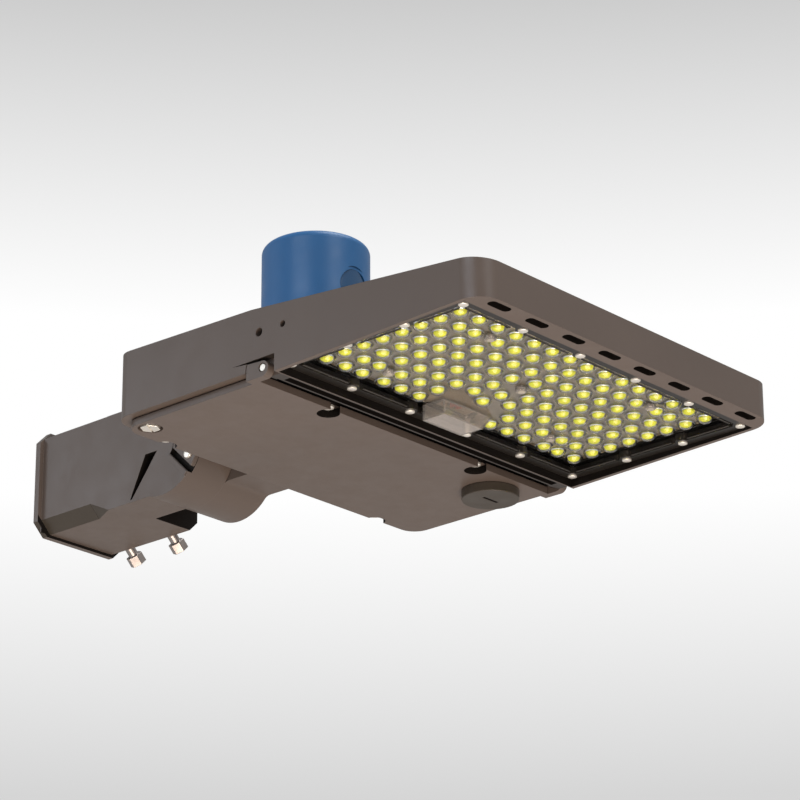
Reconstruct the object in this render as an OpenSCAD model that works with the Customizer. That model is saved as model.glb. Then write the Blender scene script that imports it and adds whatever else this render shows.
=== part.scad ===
// Shoebox area light: a die-cast LED head on a slip-fitter arm for a round pole tenon.
// The origin is the centre of the tenon socket's mouth. +Y runs along the tenon, +Z is up.
// The head is drawn from its own corner: front face at y = 0, seat plane of the door at z = 0.

/* [Head casting] */
// Width of the housing
body_w = 330; // [324:1:345]
// Length of the housing from front face to rear wall
body_l = 355; // [350:1:370]
// Height of the top above the seat plane at the front
front_h = 27.5; // [25:0.5:32]
// Height of the top where its slope changes
break_h = 47.3; // [45:0.1:50]
// Distance from the front face to the change of slope
break_l = 214; // [205:1:225]
// Height of the top at the rear wall
rear_h = 51; // [50.5:0.5:54]
// Plan radius of the front corners
front_r = 19.5; // [10:0.5:25]
// Plan radius of the rear corners
rear_r = 17; // [5:1:20]
// Drop of the rim below the seat plane at the front
rim_front = 0.8; // [0.5:0.1:1.5]
// Drop of the rim below the seat plane at the rear of the LED bay
rim_rear = 5.4; // [4:0.1:6]
// Thickness of the driver bay's walls and roof
wall = 5; // [4:0.5:6]
// Width of the vent slots in the front rim
slot_w = 21; // [12:0.5:24]
// Height of the vent slots, front to back
slot_h = 7.3; // [4:0.1:7.5]
// Distance between vent slots
slot_pitch = 39.4; // [34:0.2:40]
// Number of vent slots
slot_n = 8; // [4:1:8]
// Thickness of a cooling fin
fin_t = 2.4; // [1.8:0.1:3]

/* [LED bay] */
// Distance of the outer screw lines from the housing's sides
field_side = 10; // [8:0.5:14]
// Pitch of the frame screws along the length
screw_py = 53; // [52:0.5:54]
// Distance of the first screw row from the front face
screw_y0 = 24; // [23:0.5:26]
// Frame overhang outside the screw lines
frame_out = 6.2; // [5:0.1:6.5]
// Height of the frame's face above the seat plane
frame_z = 0.7; // [0.5:0.1:1.5]
// Thickness of the frame
frame_t = 5.5; // [4:0.1:6]
// Thickness of the clear lens plate
plate_t = 2.5; // [2:0.1:3]
// Base radius of a lens dome
dome_r = 7; // [5:0.1:8]
// Height of a lens dome
dome_h = 4.6; // [3:0.1:5]
// Distance of the outer lenses from the outer screw lines
lens_side = 18.115; // [16:0.005:24]
// Pitch of the lenses along the length
lens_py = 17.74; // [17:0.01:18]

/* [Driver door] */
// Thickness of the hinge ears beside the door
ear_t = 6.5; // [6:0.1:10]
// Height of the door's edge
door_h = 5.5; // [4.5:0.1:6]
// Thickness of the door's panel
door_t = 2.5; // [2:0.1:3]
// Radius of the notches round the tray screws
notch_r = 8.5; // [8:0.5:12]
// Radius of the hinge pins
pin_r = 2.5; // [2:0.1:3]
// Radius of the sensor plug
plug_r = 22.25; // [15:0.25:24]
// Height of the sensor plug below the door
plug_h = 7.5; // [5:0.5:10]

/* [Photocontrol] */
// Radius of the photocontrol
cell_r = 42; // [38:0.5:45]
// Height of the photocontrol's cover
cell_h = 105; // [60:1:120]
// Height of the receptacle above its gasket
recept_h = 17; // [14:0.5:22]

/* [Slip fitter] */
// Diameter of the pole tenon
tenon_d = 60.3; // [57:0.1:61]
// Radial clearance of the tenon in the socket
tenon_gap = 1; // [0.5:0.1:1.5]
// Depth of the tenon socket
socket_l = 90; // [85:1:95]
// Width of the arm
arm_w = 85; // [82:1:90]
// Arm's underside below the tenon axis
arm_low = 41; // [40:0.5:44]
// Arm's top above the tenon axis
arm_top = 38; // [37:0.5:42]
// Width of the flange
flange_w = 93; // [90:1:98]
// Height of the flange
flange_hgt = 88; // [86:1:92]
// Distance from the socket's mouth to the pivot axis
pivot_reach = 141.6; // [140:0.1:150]
// Drop of the pivot axis below the tenon axis
pivot_drop = 2.8; // [1:0.1:5]
// Radius of the arm's knuckle disc
disc_r = 40.4; // [38:0.1:42]
// Distance from the pivot axis to the head's rear wall
rear_gap = 74.4; // [70:0.1:80]
// Height of the pivot axis above the head's seat plane
pivot_h = 33.2; // [32:0.1:35]
// Radius of the pivot bolt
bolt_r = 5; // [4:0.5:6]
// Distance between the two tenon bolts
tenon_bolt_pitch = 48.5; // [40:0.5:52]

/* [Hidden] */
$fn = 64;

// Overrun of cuts, then the radial running fit, the gap at a seat and the gap at a screw's tip
over = 1;
run_gap = 0.05;
seat_gap = 0.3;
tip_gap = 1;

// Colours
bronze = [0.36, 0.33, 0.31];
dark = [0.12, 0.11, 0.10];
steel = [0.80, 0.79, 0.76];
clear = [0.85, 0.85, 0.82, 0.4];
yellow = [0.86, 0.90, 0.20];
blue = [0.16, 0.33, 0.50];
rubber_c = [0.15, 0.15, 0.15];
white_c = [0.85, 0.85, 0.83];
red_c = [0.6, 0.1, 0.1];
ivory_c = [0.9, 0.85, 0.7];
green_c = [0.1, 0.4, 0.2];
brass_c = [0.75, 0.6, 0.25];

// Place of the head under the pivot
head_y = -(pivot_reach + rear_gap + body_l);
head_z = -(pivot_drop + pivot_h);

// LED bay
screw_nx = 6;
screw_ny = 4;
field_w = body_w - 2 * field_side;
screw_px = field_w / (screw_nx - 1);
field_l = (screw_ny - 1) * screw_py;
field_cy = screw_y0 + field_l / 2;
frame_w = field_w + 2 * frame_out;
frame_in = 1.7;
lobe_r = 5.5;
lobe_gap = 0.2;
bay_w = frame_w + 2 * lobe_gap;
bay_y0 = screw_y0 - frame_out - lobe_gap;
bay_y1 = screw_y0 + field_l + frame_out + lobe_gap;
gasket_t = 1.5;
gasket_w = 3;
gasket_in = 2.5;
board_t = 1.6;
board_in = 8;
board_edge = frame_out + board_in;
board_drop = 1.1;
chip_w = 3.5;
chip_h = 0.7;
plate_z = frame_z + frame_t;
ledge_z = plate_z + plate_t + gasket_t;
floor_z = ledge_z + board_drop;
roof_t = 5;
roof_z = floor_z + roof_t;
frame_screw_r = 3;
frame_head_r = 3.6;
frame_head_h = 1.7;
frame_shank_r = 1.7;
frame_screw_bite = 4.5;
inner_screw_bite = 3.5;
inner_head_h = 1;
lens_nx = 15;
lens_ny = 8;
lens_dy = 1;
lens_px = (field_w - 2 * lens_side) / (lens_nx - 1);
gap_cols = [6, 7, 8];
gap_row = 6;
// Lenses moved aside for bosses: column, row, then shares of the pitch across and along
lens_shift_shares = [[2, 1, -0.19, 0], [2, 6, -0.19, 0], [2, 7, -0.1, 0], [3, 1, 0.06, 0], [3, 7, 0.06, 0],
    [12, 1, 0.19, 0], [12, 7, 0.19, 0], [12, 6, 0.15, 0], [7, 0, 0, 0.03], [7, 1, 0, -0.05],
    [7, 2, 0, -0.16], [7, 3, 0, -0.29], [7, 4, 0, 0.52], [7, 5, 0, 0.5]];
// Places of the four outer bosses, in shares of the lens pitches
boss_shares = [4.577, 2.661];
boss_dx = boss_shares[0] * lens_px;
boss_dy = boss_shares[1] * lens_py;
boss_r = 4.5;
boss_h = 2.8;
front_skin = 3.7;
slot_y = 7;

// Transverse beam, trough and hinge
beam_wall = 2.4;
beam_pocket = 6;
beam_rib = 1.6;
beam_end = 8.7;
beam_z = 5.2;
trough_z = 8;
trough_end = 10.8;
trough_top = 6.2;
side_gap = 0.3;
door_w = body_w - 2 * ear_t;
inner_w = door_w - 2 * side_gap;
side_over = 1;
side_end = bay_y1 + side_over;
beam_y1 = bay_y1 + beam_wall + beam_pocket + beam_rib;
pin_dy = 12.9;
pin_y = bay_y1 + pin_dy;
pin_z = 0.6;
pin_lug_r = 4.5;
door_dy = 7.9;
door_y0 = pin_y + door_dy;
ear_l = 7.5;
ear_y1 = door_y0 + ear_l;
ear_tail = 13;
ear_gap = 0.8;
ear_end = ear_y1 + ear_tail + ear_gap;
ear_swing_r = norm([ear_y1 - pin_y, pin_z + ear_gap / 2]);
ear_r = 6;
ear_nose_z = -0.5;
ear_top = 7.2;
ear_front_top = 5.4;
pin_recess = 0.6;
pin_counter = 0.75;
pin_counter_l = 1.5;

// Blind holes in the sides
side_hole_z = 28.1;
side_hole_dy = 3.3;
side_hole_front = 7.9;
side_hole_r = 3.25;
side_hole_front_r = 2.5;
side_hole_d = 8;

// Driver bay
bay_wall_dy = 11;
bay_wall_y = door_y0 + bay_wall_dy;
seat_lip = 9;
neck_z = 8;
rear_lip = 11;
seat_front_dy = 3.5;
seat_front_y = door_y0 + seat_front_dy;
front_wall_t = 7;
door_rear = 6;
door_l = body_l - door_rear - door_y0;
door_r = 14;
door_rim = 4;
door_top = 1;
door_z = -(door_top + door_h);
tray_t = 1.2;
tray_z = -0.6;
tray_front_side = 77.5;
tray_front_dx = door_w / 2 - tray_front_side;
tray_rear_side = 44;
tray_rear_dx = door_w / 2 - tray_rear_side;
tray_front_dy = 7;
tray_front_y = door_y0 + tray_front_dy;
tray_rear_in = 4.4;
tray_rear_y = body_l - tray_rear_in;
tray_head_r = 4.35;
tray_head_h = 2.4;
tray_shank_r = 2;
tray_bite = 9;
tray_arm = 12;
tray_y0 = bay_wall_y + side_gap;
tray_w = 2 * tray_rear_dx + tray_arm;
tray_l_more = 12;
driver_side = 46.5;
driver_w = door_w - 2 * driver_side;
driver_h = 28;
driver_dy = 7;
driver_y = bay_wall_y + driver_dy;
driver_rear = 60.8;
driver_l = body_l - driver_rear - driver_y;
tray_l = driver_l + tray_l_more;
driver_foot = 10;
driver_foot_t = 3;
driver_screw_r = 3.5;
driver_screw_dx = driver_w / 2 - driver_foot / 2;
surge_w = 50;
surge_l = 30;
surge_h = 24;
surge_x = 60;
surge_z = 9;
surge_hole_r = 3;
term_w = 46;
term_l = 20;
term_h = 18;
term_x = -100;
term_z = 12;
term_n = 3;
term_hole_r = 2;
block_hole_d = 7;
ground_x = -40;
ground_z = 14;

// Wire duct between the LED bay and the driver bay, and the cover over its window
duct_w = 18;
duct_z = 21;
duct_r = 5;
duct_set_back = 29;
duct_y0 = bay_y1 - duct_set_back;
duct_h = 11;
lead_slot_in = 3;
lead_r = 1.1;
lead_dx = 3;
lead_tail = 7;
grommet_l = 6;
window_w = 36;
window_l = 13;
cover_near = 23.2;
cover_far = 31;
cover_slope = 12;
cover_l = 20.7;
cover_h = 12.3;
cover_wall = 1.5;
cover_set_back = 32.6;
cover_y0 = bay_y1 - cover_set_back;
cover_screw_x = 21.6;
cover_screw_dy = 17;
cover_screw_head_r = 2.8;
cover_boss_r = 3.2;
cover_boss_h = 11.7;

// Captive screw and sensor plug
cap_side = 11.5;
cap_x = cap_side - door_w / 2;
cap_in = 22;
cap_y = body_l - cap_in;
cap_af = 13;
cap_recess_r = 9.25;
cap_head_h = 4;
cap_proud = 0.5;
cap_r = 3;
cap_boss_r = 12;
cap_post_r = 8;
cap_len = 12;
cap_slot = 1.2;
cap_hole_gap = 0.8;
clip_r = 5;
clip_t = 0.6;
plug_side = 35.5;
plug_x = door_w / 2 - plug_side;
plug_dy = 28;
plug_y = door_y0 + plug_dy;
plug_neck_r = 18;
plug_slot_l = 16;
plug_slot_w = 2;
plug_slot_d = 1.5;
plug_skin = 0.1;

// Photocontrol
cell_in = 48;
cell_y = body_l - cell_in;
pad_r = 36;
pad_proud = 0.3;
pad_z = rear_h + pad_proud;
pad_t = 8;
neck_r = 20;
neck_l = 9;
recept_r = 34;
recept_flange = 4;
recept_body_r = 31;
recept_screw_n = 3;
recept_screw_at = 27;
recept_screw_r = 1.7;
seal_t = 2;
cell_z0 = pad_z + seal_t + recept_h + seat_gap;
cell_wall = 2.5;
cell_edge = 6;
cell_flare = 0.8;
cell_flare_h = 12;
base_t = 4;
blade_n = 3;
blade_r = 15;
blade_t = 2;
blade_l = 12;
blade_deg = 22;
twist_deg = 30;
blade_slack_deg = 5;
blade_gap = 0.5;
win_r = 14.5;
win_z = 61.5;
win_recess = 0.8;
eye_w = 10;
eye_t = 5;

// Knuckle on the head's rear wall
tongue_less = 0.4;
tongue_r = disc_r - tongue_less;
tongue_in = -3;
tongue_w = arm_w / 2 - tongue_in;
tongue_cav = 18;
web_low = 25.9;
web_top = 13;
web_fillet = 8;
wire_r = 8.5;
knuckle_bolt_x = 30;
knuckle_bolt_z0 = 15;
knuckle_bolt_z1 = 38;
knuckle_bolt_r = 3;
knuckle_head_r = 5.77;
knuckle_head_h = 4;
knuckle_bite = 14;

// Arm
socket_r = tenon_d / 2 + tenon_gap;
end_wall = 5;
flange_t = 5;
flange_c = 10.5;
near_c = 10;
far_c = 8;
near_c_end = 62;
near_c_fade = 21;
cheek_in = -3.3;
cheek_cav = 17;
cheek_duct_r = 8;
disc_low_y = 12.2;
deck_h = 3;
deck_y0 = 73;
deck_in = 5;
pivot_z = -pivot_drop;
duct_cav_r = 20;

// Pivot bolt and friction ring
head_r = 8;
head_hgt = 8;
head_recess_r = 10.6;
head_recess = 10;
bolt_end = 10;
washer_t = 1.6;
washer_r = 9.5;
hex_key_r = 4.6;
hex_key_d = 5;
ring_in = 24;
ring_out = 33;
ring_t = 2;

// Groove and angle lock on the near face of the disc
groove_w0 = 13;
groove_w1 = 2;
groove_y0 = 5.6;
groove_z0 = 2.2;
groove_y1 = 32.6;
groove_z1 = 36;
groove_d = 8;
quad_deg = 224;
quad_end = 130;
quad_step = 16;
quad_d = 4;
quad_channel = 5;
bar_w = 3.6;
bar_proud = 0.8;
quad_hub = 12;
quad_screw_r = 3.8;
quad_screw_at = 32;
quad_screw_deg = 205;
quad_screw_h = 2;

// Tenon bolts
tb_r = 4;
tb_head_r = 7;
tb_head_h = 8.3;
tb_out = 7.3;
tb_y0 = -22;
tb_tip = 0.4;
tb_dist = (arm_w / 2 + arm_low - far_c) * cos(45);

// Shapes shared by several pieces

module at_head() {
    translate([0, head_y, head_z]) children();
}

module at_pivot() {
    translate([0, -pivot_reach, pivot_z]) children();
}

// Rectangle centred on x, from y = 0, with its own front and rear corner radii
module round_rect(w, l, rf, rr) {
    translate([-w / 2, rf]) square([w, l - rf - rr]);
    translate([rf - w / 2, 0]) square([w - 2 * rf, 2 * rf]);
    translate([rr - w / 2, l - 2 * rr]) square([w - 2 * rr, 2 * rr]);
    for (s = [-1, 1]) {
        translate([s * (w / 2 - rf), rf]) circle(rf);
        translate([s * (w / 2 - rr), l - rr]) circle(rr);
    }
}

// Outline in (y, z) drawn along x, centred
module along_x(w) {
    translate([-w / 2, 0, 0]) rotate([90, 0, 90]) linear_extrude(w) children();
}

module box(x0, x1, y0, y1, z0, z1) {
    translate([x0, y0, z0]) cube([x1 - x0, y1 - y0, z1 - z0]);
}

module drum_x(r, x0, x1) {
    translate([x0, 0, 0]) rotate([0, 90, 0]) cylinder(r = r, h = x1 - x0);
}

function top_at(y) = y < break_l ? front_h + (break_h - front_h) * y / break_l
    : break_h + (rear_h - break_h) * (y - break_l) / (body_l - break_l);

function shift_of(c, r) = [for (s = lens_shift_shares) if (s[0] == c && s[1] == r) [s[2], s[3]]];

function in_gap(c, r) = r >= gap_row && len(search(c, gap_cols)) > 0;

function lens_at(c, r) =
    let (s = concat(shift_of(c, r), [[0, 0]])[0])
    [(c - (lens_nx - 1) / 2 + s[0]) * lens_px, field_cy + (r - (lens_ny - 1) / 2 + s[1]) * lens_py + lens_dy];

module at_lenses() {
    for (c = [0:lens_nx - 1])
        for (r = [0:lens_ny - 1])
            if (!in_gap(c, r)) translate(lens_at(c, r)) children();
}

module at_frame_screws() {
    for (i = [0:screw_nx - 1])
        for (j = [0:screw_ny - 1])
            if (i == 0 || i == screw_nx - 1 || j == 0 || j == screw_ny - 1)
                translate([i * screw_px - field_w / 2, screw_y0 + j * screw_py, 0]) children();
}

module at_inner_screws() {
    translate([0, field_cy, 0]) children();
    for (sx = [-1, 1])
        for (sy = [-1, 1])
            translate([sx * boss_dx, field_cy + sy * boss_dy, 0]) children();
}

module at_tray_screws() {
    for (s = [-1, 1]) {
        translate([s * tray_front_dx, tray_front_y, 0]) children();
        translate([s * tray_rear_dx, tray_rear_y, 0]) children();
    }
}

// Pan-head screw with its face at z = 0, pointing up
module pan_screw(head, head_t, shank, l) {
    translate([0, 0, head_t - over / 2]) cylinder(r = shank, h = l + over / 2);
    intersection() {
        cylinder(r = head, h = head_t);
        translate([0, 0, 2 * head]) sphere(2 * head);
    }
}

module slotted(head, width, depth) {
    difference() {
        children();
        translate([-head, -width / 2, -over]) cube([2 * head, width, depth + over]);
    }
}

// Head casting

module side_profile() {
    polygon([[0, -rim_front], [side_end, -rim_rear], [side_end, trough_z], [ear_end, trough_z], [ear_end, 0],
        [body_l, 0], [body_l, rear_h], [break_l, break_h], [0, front_h]]);
    // Nose behind the ear, hollowed to the circle in which the ear's rear edge swings
    difference() {
        polygon([[pin_y, 0], [ear_end + over, 0], [ear_end + over, trough_z], [ear_end, trough_z],
            [pin_y, ear_front_top]]);
        translate([pin_y, pin_z]) circle(ear_swing_r + ear_gap);
    }
}

module fin_channels() {
    pitch = slot_pitch / 4;
    n = floor((body_w / 2 - front_wall_t - wall) / pitch);
    for (i = [-n:n])
        box(i * pitch - (pitch - fin_t) / 2, i * pitch + (pitch - fin_t) / 2,
            channel_y(abs(i) * pitch + pitch / 2), bay_wall_y - front_wall_t, roof_z, rear_h + over);
}

// Front end of a channel, kept behind the rounded corner of the front wall
function channel_y(x) =
    let (d = x - (body_w / 2 - front_r))
    front_skin + (d > 0 ? front_r - sqrt(max(front_r * front_r - d * d, 0)) : 0);

module vent_slots() {
    for (i = [0:slot_n - 1]) translate([(i - (slot_n - 1) / 2) * slot_pitch, slot_y, -2 * rim_rear])
        linear_extrude(roof_z + 2 * rim_rear + over) {
            square([slot_w - slot_h, slot_h], center = true);
            for (s = [-1, 1]) translate([s * (slot_w - slot_h) / 2, 0]) circle(slot_h / 2);
        }
}

module driver_cavity() {
    cavity_w = body_w - 2 * wall;
    along_x(cavity_w) polygon([[bay_wall_y, neck_z], [body_l - wall, neck_z],
        [body_l - wall, top_at(body_l - wall) - wall], [bay_wall_y, top_at(bay_wall_y) - wall]]);
    box(seat_lip - inner_w / 2, inner_w / 2 - seat_lip, bay_wall_y, body_l - rear_lip, -over, neck_z + over);
}

module accessory_holes() {
    for (s = [-1, 1]) translate([s * body_w / 2, 0, side_hole_z]) {
        translate([0, pin_y + side_hole_dy, 0]) rotate([0, -s * 90, 0])
            cylinder(r = side_hole_r, h = side_hole_d);
        translate([0, side_end - side_hole_front, 0]) rotate([0, -s * 90, 0])
            cylinder(r = side_hole_front_r, h = side_hole_d);
    }
}

module at_knuckle() {
    translate([0, body_l + rear_gap, pivot_h]) children();
}

module at_knuckle_bolts() {
    for (z = [knuckle_bolt_z0, knuckle_bolt_z1])
        translate([knuckle_bolt_x, body_l, z]) rotate([-90, 0, 0]) children();
}

// Wireway from the driver bay to the pivot
module head_wireway() {
    at_knuckle() translate([tongue_cav / 2, 0, 0]) rotate([90, 0, 0])
        cylinder(r = wire_r, h = rear_gap + wall + over);
}

module knuckle() {
    color(bronze) at_head() difference() {
        at_knuckle() difference() {
            union() {
                drum_x(tongue_r, tongue_in, arm_w / 2);
                translate([tongue_in, 0, 0]) rotate([90, 0, 90]) linear_extrude(tongue_w)
                    polygon([[-rear_gap, -web_low], [0, -web_low], [0, web_top], [-rear_gap, web_top]]);
                tongue_fillet();
            }
            drum_x(bolt_r + run_gap, tongue_in - over, arm_w / 2 + over);
            drum_x(duct_cav_r, tongue_in - over, tongue_cav);
            drum_x(head_recess_r, arm_w / 2 - head_recess, arm_w / 2 + over);
        }
        head_wireway();
        at_knuckle_bolts() translate([0, 0, -over])
            cylinder(r = knuckle_bolt_r + run_gap, h = knuckle_bite + over);
    }
}

module knuckle_bolts() {
    color(steel) at_head() at_knuckle_bolts() translate([0, 0, -wall - knuckle_head_h]) {
        cylinder(r = knuckle_head_r, h = knuckle_head_h, $fn = 6);
        translate([0, 0, knuckle_head_h - over])
            cylinder(r = knuckle_bolt_r, h = wall + knuckle_bite + over - tip_gap);
    }
}

// Concave blend between the web's flat underside and the round knuckle
module tongue_fillet() {
    fy = sqrt(pow(tongue_r + web_fillet, 2) - pow(web_low + web_fillet, 2));
    tip = tongue_r / (tongue_r + web_fillet);
    translate([tongue_in, 0, 0]) rotate([90, 0, 90]) linear_extrude(tongue_w) difference() {
        polygon([[-fy, -web_low], [-fy * tip, -(web_low + web_fillet) * tip], [-fy * tip, -web_low + over],
            [-fy, -web_low + over]]);
        translate([-fy, -web_low - web_fillet]) circle(web_fillet);
    }
}

module housing() {
    color(bronze) at_head() difference() {
        union() {
            difference() {
                intersection() {
                    along_x(body_w) side_profile();
                    translate([0, 0, -2 * rim_rear]) linear_extrude(rear_h + 4 * rim_rear)
                        round_rect(body_w, body_l, front_r, rear_r);
                }
                fin_channels();
            }
            box(-inner_w / 2, inner_w / 2, bay_y1 - over, beam_y1, -beam_z, trough_z + over);
            box(-inner_w / 2, inner_w / 2, seat_front_y, body_l - rear_r, 0, neck_z + over);
            for (s = [-1, 1]) pin_lug(s);
            at_tray_screws() translate([0, 0, tray_z + tray_t]) cylinder(r = tray_head_r, h = neck_z + over);
            box(-duct_w / 2, duct_w / 2, duct_y0, bay_wall_y, roof_z - over, roof_z + duct_h);
            receptacle_pad();
        }
        vent_slots();
        led_pocket();
        beam_trough();
        difference() {
            driver_cavity();
            translate([cap_x, cap_y, 0]) cylinder(r = cap_post_r, h = rear_h);
            receptacle_pad();
        }
        translate([cap_x, cap_y, -over]) cylinder(r = cap_r + cap_hole_gap, h = cap_len + 2 * over);
        at_tray_screws() {
            translate([0, 0, -over]) cylinder(r = tray_head_r + run_gap, h = tray_z + tray_t + over);
            cylinder(r = tray_shank_r + run_gap, h = tray_bite + over);
        }
        tray_arm_reliefs();
        pin_holes();
        lead_duct();
        receptacle_holes();
        accessory_holes();
        ground_hole();
        head_wireway();
        at_knuckle_bolts() translate([0, 0, -wall - over])
            cylinder(r = knuckle_bolt_r + run_gap, h = wall + 2 * over);
    }
}

module led_pocket() {
    box(-bay_w / 2, bay_w / 2, bay_y0, bay_y1, -2 * rim_rear, ledge_z);
    box(board_edge - bay_w / 2, bay_w / 2 - board_edge, bay_y0 + board_edge, bay_y1 - board_edge,
        ledge_z - over, floor_z);
    at_frame_screws() cylinder(r = frame_shank_r + run_gap, h = ledge_z + frame_screw_bite);
    at_inner_screws() cylinder(r = frame_shank_r + run_gap, h = floor_z + inner_screw_bite);
}

// Open channel along the underside of the transverse beam
module beam_trough() {
    box(trough_end - inner_w / 2, inner_w / 2 - trough_end, bay_y1 + beam_wall, beam_y1 - beam_rib,
        -beam_z - over, trough_top);
}

module receptacle_pad() {
    translate([0, cell_y, pad_z - pad_t]) cylinder(r = pad_r, h = pad_t);
}

module receptacle_holes() {
    translate([0, cell_y, pad_z - pad_t - over]) {
        cylinder(r = neck_r + side_gap, h = pad_t + 2 * over);
        at_recept_screws() cylinder(r = recept_screw_r + run_gap, h = pad_t + 2 * over);
    }
}

module at_recept_screws() {
    for (i = [0:recept_screw_n - 1])
        rotate((i + 1 / 2) * 360 / recept_screw_n) translate([recept_screw_at, 0, 0]) children();
}

module pin_holes() {
    for (s = [-1, 1]) translate([0, pin_y, pin_z]) mirror([s < 0 ? 1 : 0, 0, 0])
        drum_x(pin_r + run_gap / 2, inner_w / 2 - beam_end, body_w / 2);
}

// Way of the leads from the LED board, through the duct above it, to the driver bay
module lead_duct() {
    box(lead_slot_in - duct_w / 2, duct_w / 2 - lead_slot_in, duct_y0 + lead_slot_in, duct_y0 + window_l,
        ledge_z - over, duct_z + duct_r / 2);
    translate([0, duct_y0 + window_l / 2, duct_z]) rotate([-90, 0, 0])
        cylinder(r = duct_r, h = bay_wall_y - duct_y0);
}

module pin_lug(s) {
    x0 = s < 0 ? -inner_w / 2 : inner_w / 2 - beam_end;
    translate([0, pin_y, pin_z]) drum_x(pin_lug_r, x0, x0 + beam_end);
    box(x0, x0 + beam_end, beam_y1 - over, pin_y + pin_lug_r, pin_z, trough_z + over);
}

// Shallow reliefs in the seat frame for the tray's arms
module tray_arm_reliefs() {
    z1 = tray_z + tray_t;
    for (s = [-1, 1]) {
        box(s * tray_front_dx - tray_head_r - run_gap, s * tray_front_dx + tray_head_r + run_gap,
            tray_front_y, bay_wall_y + over, -over, z1);
        box(s * tray_rear_dx - tray_head_r - run_gap, s * tray_rear_dx + tray_head_r + run_gap,
            body_l - rear_lip - over, tray_rear_y, -over, z1);
    }
}

module ground_hole() {
    translate([ground_x, body_l - wall - over, ground_z]) rotate([-90, 0, 0])
        cylinder(r = frame_shank_r + run_gap, h = wall);
}

// LED bay

module lens_frame() {
    color(bronze) at_head() difference() {
        union() {
            difference() {
                box(-frame_w / 2, frame_w / 2, screw_y0 - frame_out, screw_y0 + field_l + frame_out,
                    frame_z, frame_z + frame_t);
                box(frame_in - field_w / 2, field_w / 2 - frame_in, screw_y0 + frame_in,
                    screw_y0 + field_l - frame_in, frame_z - over, frame_z + frame_t + over);
            }
            at_frame_screws() translate([0, 0, frame_z]) cylinder(r = lobe_r, h = frame_t);
        }
        at_frame_screws() cylinder(r = frame_shank_r + run_gap, h = ledge_z);
    }
}

module lens_plate() {
    ball = (dome_r * dome_r + dome_h * dome_h) / (2 * dome_h);
    color(clear) at_head() difference() {
        union() {
            box(-frame_w / 2, frame_w / 2, screw_y0 - frame_out, screw_y0 + field_l + frame_out,
                plate_z, plate_z + plate_t);
            intersection() {
                at_lenses() translate([0, 0, plate_z - dome_h + ball]) sphere(ball);
                box(-frame_w / 2, frame_w / 2, bay_y0, bay_y1, plate_z - 2 * dome_h, plate_z + plate_t / 2);
            }
            at_inner_screws() translate([0, 0, plate_z - boss_h]) cylinder(r = boss_r, h = boss_h + over);
        }
        at_frame_screws() cylinder(r = frame_shank_r + run_gap, h = ledge_z);
        at_inner_screws() cylinder(r = frame_shank_r + run_gap, h = ledge_z);
        at_cover_screw() cylinder(r = frame_shank_r + run_gap, h = ledge_z);
        box(-window_w / 2, window_w / 2, duct_y0, duct_y0 + window_l, plate_z - over, plate_z + plate_t + over);
    }
}

module lens_gasket() {
    w = field_w - 2 * gasket_in;
    y0 = screw_y0 + gasket_in;
    y1 = screw_y0 + field_l - gasket_in;
    color(rubber_c) at_head() difference() {
        box(-w / 2, w / 2, y0, y1, plate_z + plate_t, ledge_z);
        box(gasket_w - w / 2, w / 2 - gasket_w, y0 + gasket_w, y1 - gasket_w, plate_z, ledge_z + over);
    }
}

module lens_frame_screws() {
    color(steel) at_head() at_frame_screws() translate([0, 0, frame_z - frame_head_h])
        pan_screw(frame_head_r, frame_head_h, frame_shank_r, ledge_z - frame_z + frame_screw_bite - tip_gap);
}

module inner_lens_screws() {
    z0 = plate_z - boss_h;
    color(steel) at_head() at_inner_screws() translate([0, 0, z0 - inner_head_h])
        pan_screw(frame_screw_r, inner_head_h, frame_shank_r, floor_z - z0 + inner_screw_bite - tip_gap);
}

module led_board() {
    edge = board_edge + seat_gap;
    color(white_c) at_head() difference() {
        box(edge - bay_w / 2, bay_w / 2 - edge, bay_y0 + edge, bay_y1 - edge, floor_z - board_t, floor_z);
        at_inner_screws() cylinder(r = frame_shank_r + run_gap, h = 2 * floor_z);
        box(lead_slot_in - duct_w / 2, duct_w / 2 - lead_slot_in, duct_y0 + lead_slot_in,
            duct_y0 + window_l, floor_z - 2 * board_t, floor_z + over);
    }
}

module led_chips() {
    color(yellow) at_head() at_lenses()
        translate([-chip_w / 2, -chip_w / 2, floor_z - board_t - chip_h]) cube([chip_w, chip_w, chip_h]);
}

// Place in x of the cover's sloping far end at height z, with wall t taken off
function cover_x(z, t) =
    cover_far - cover_slope * (plate_z - z) / cover_h - t * norm([cover_slope, cover_h]) / cover_h;

// Outline in (x, z) with an upright near end, up to height z1 and with wall t taken off
module cover_outline(t, z1) {
    z0 = plate_z - cover_h + t;
    polygon([[t - cover_near, z1], [cover_x(z1, t), z1], [cover_x(z0, t), z0], [t - cover_near, z0]]);
}

module at_cover_screw() {
    translate([cover_screw_x, cover_y0 + cover_screw_dy, 0]) children();
}

module wire_cover() {
    color(clear) at_head() difference() {
        union() {
            difference() {
                translate([0, cover_y0 + cover_l, 0]) rotate([90, 0, 0]) linear_extrude(cover_l)
                    cover_outline(0, plate_z);
                translate([0, cover_y0 + cover_l - cover_wall, 0]) rotate([90, 0, 0])
                    linear_extrude(cover_l - 2 * cover_wall) cover_outline(cover_wall, plate_z + over);
            }
            at_cover_screw() translate([0, 0, plate_z - cover_boss_h])
                cylinder(r = cover_boss_r, h = cover_boss_h);
        }
        at_cover_screw() translate([0, 0, -cover_h]) {
            cylinder(r = frame_shank_r + run_gap, h = 2 * cover_h);
            cylinder(r = cover_screw_head_r + side_gap, h = cover_h + plate_z - cover_boss_h);
        }
    }
}

module wire_cover_screw() {
    color(steel) at_head() at_cover_screw() translate([0, 0, plate_z - cover_boss_h - inner_head_h])
        pan_screw(cover_screw_head_r, inner_head_h, frame_shank_r, cover_boss_h + plate_t - seat_gap);
}

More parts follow.
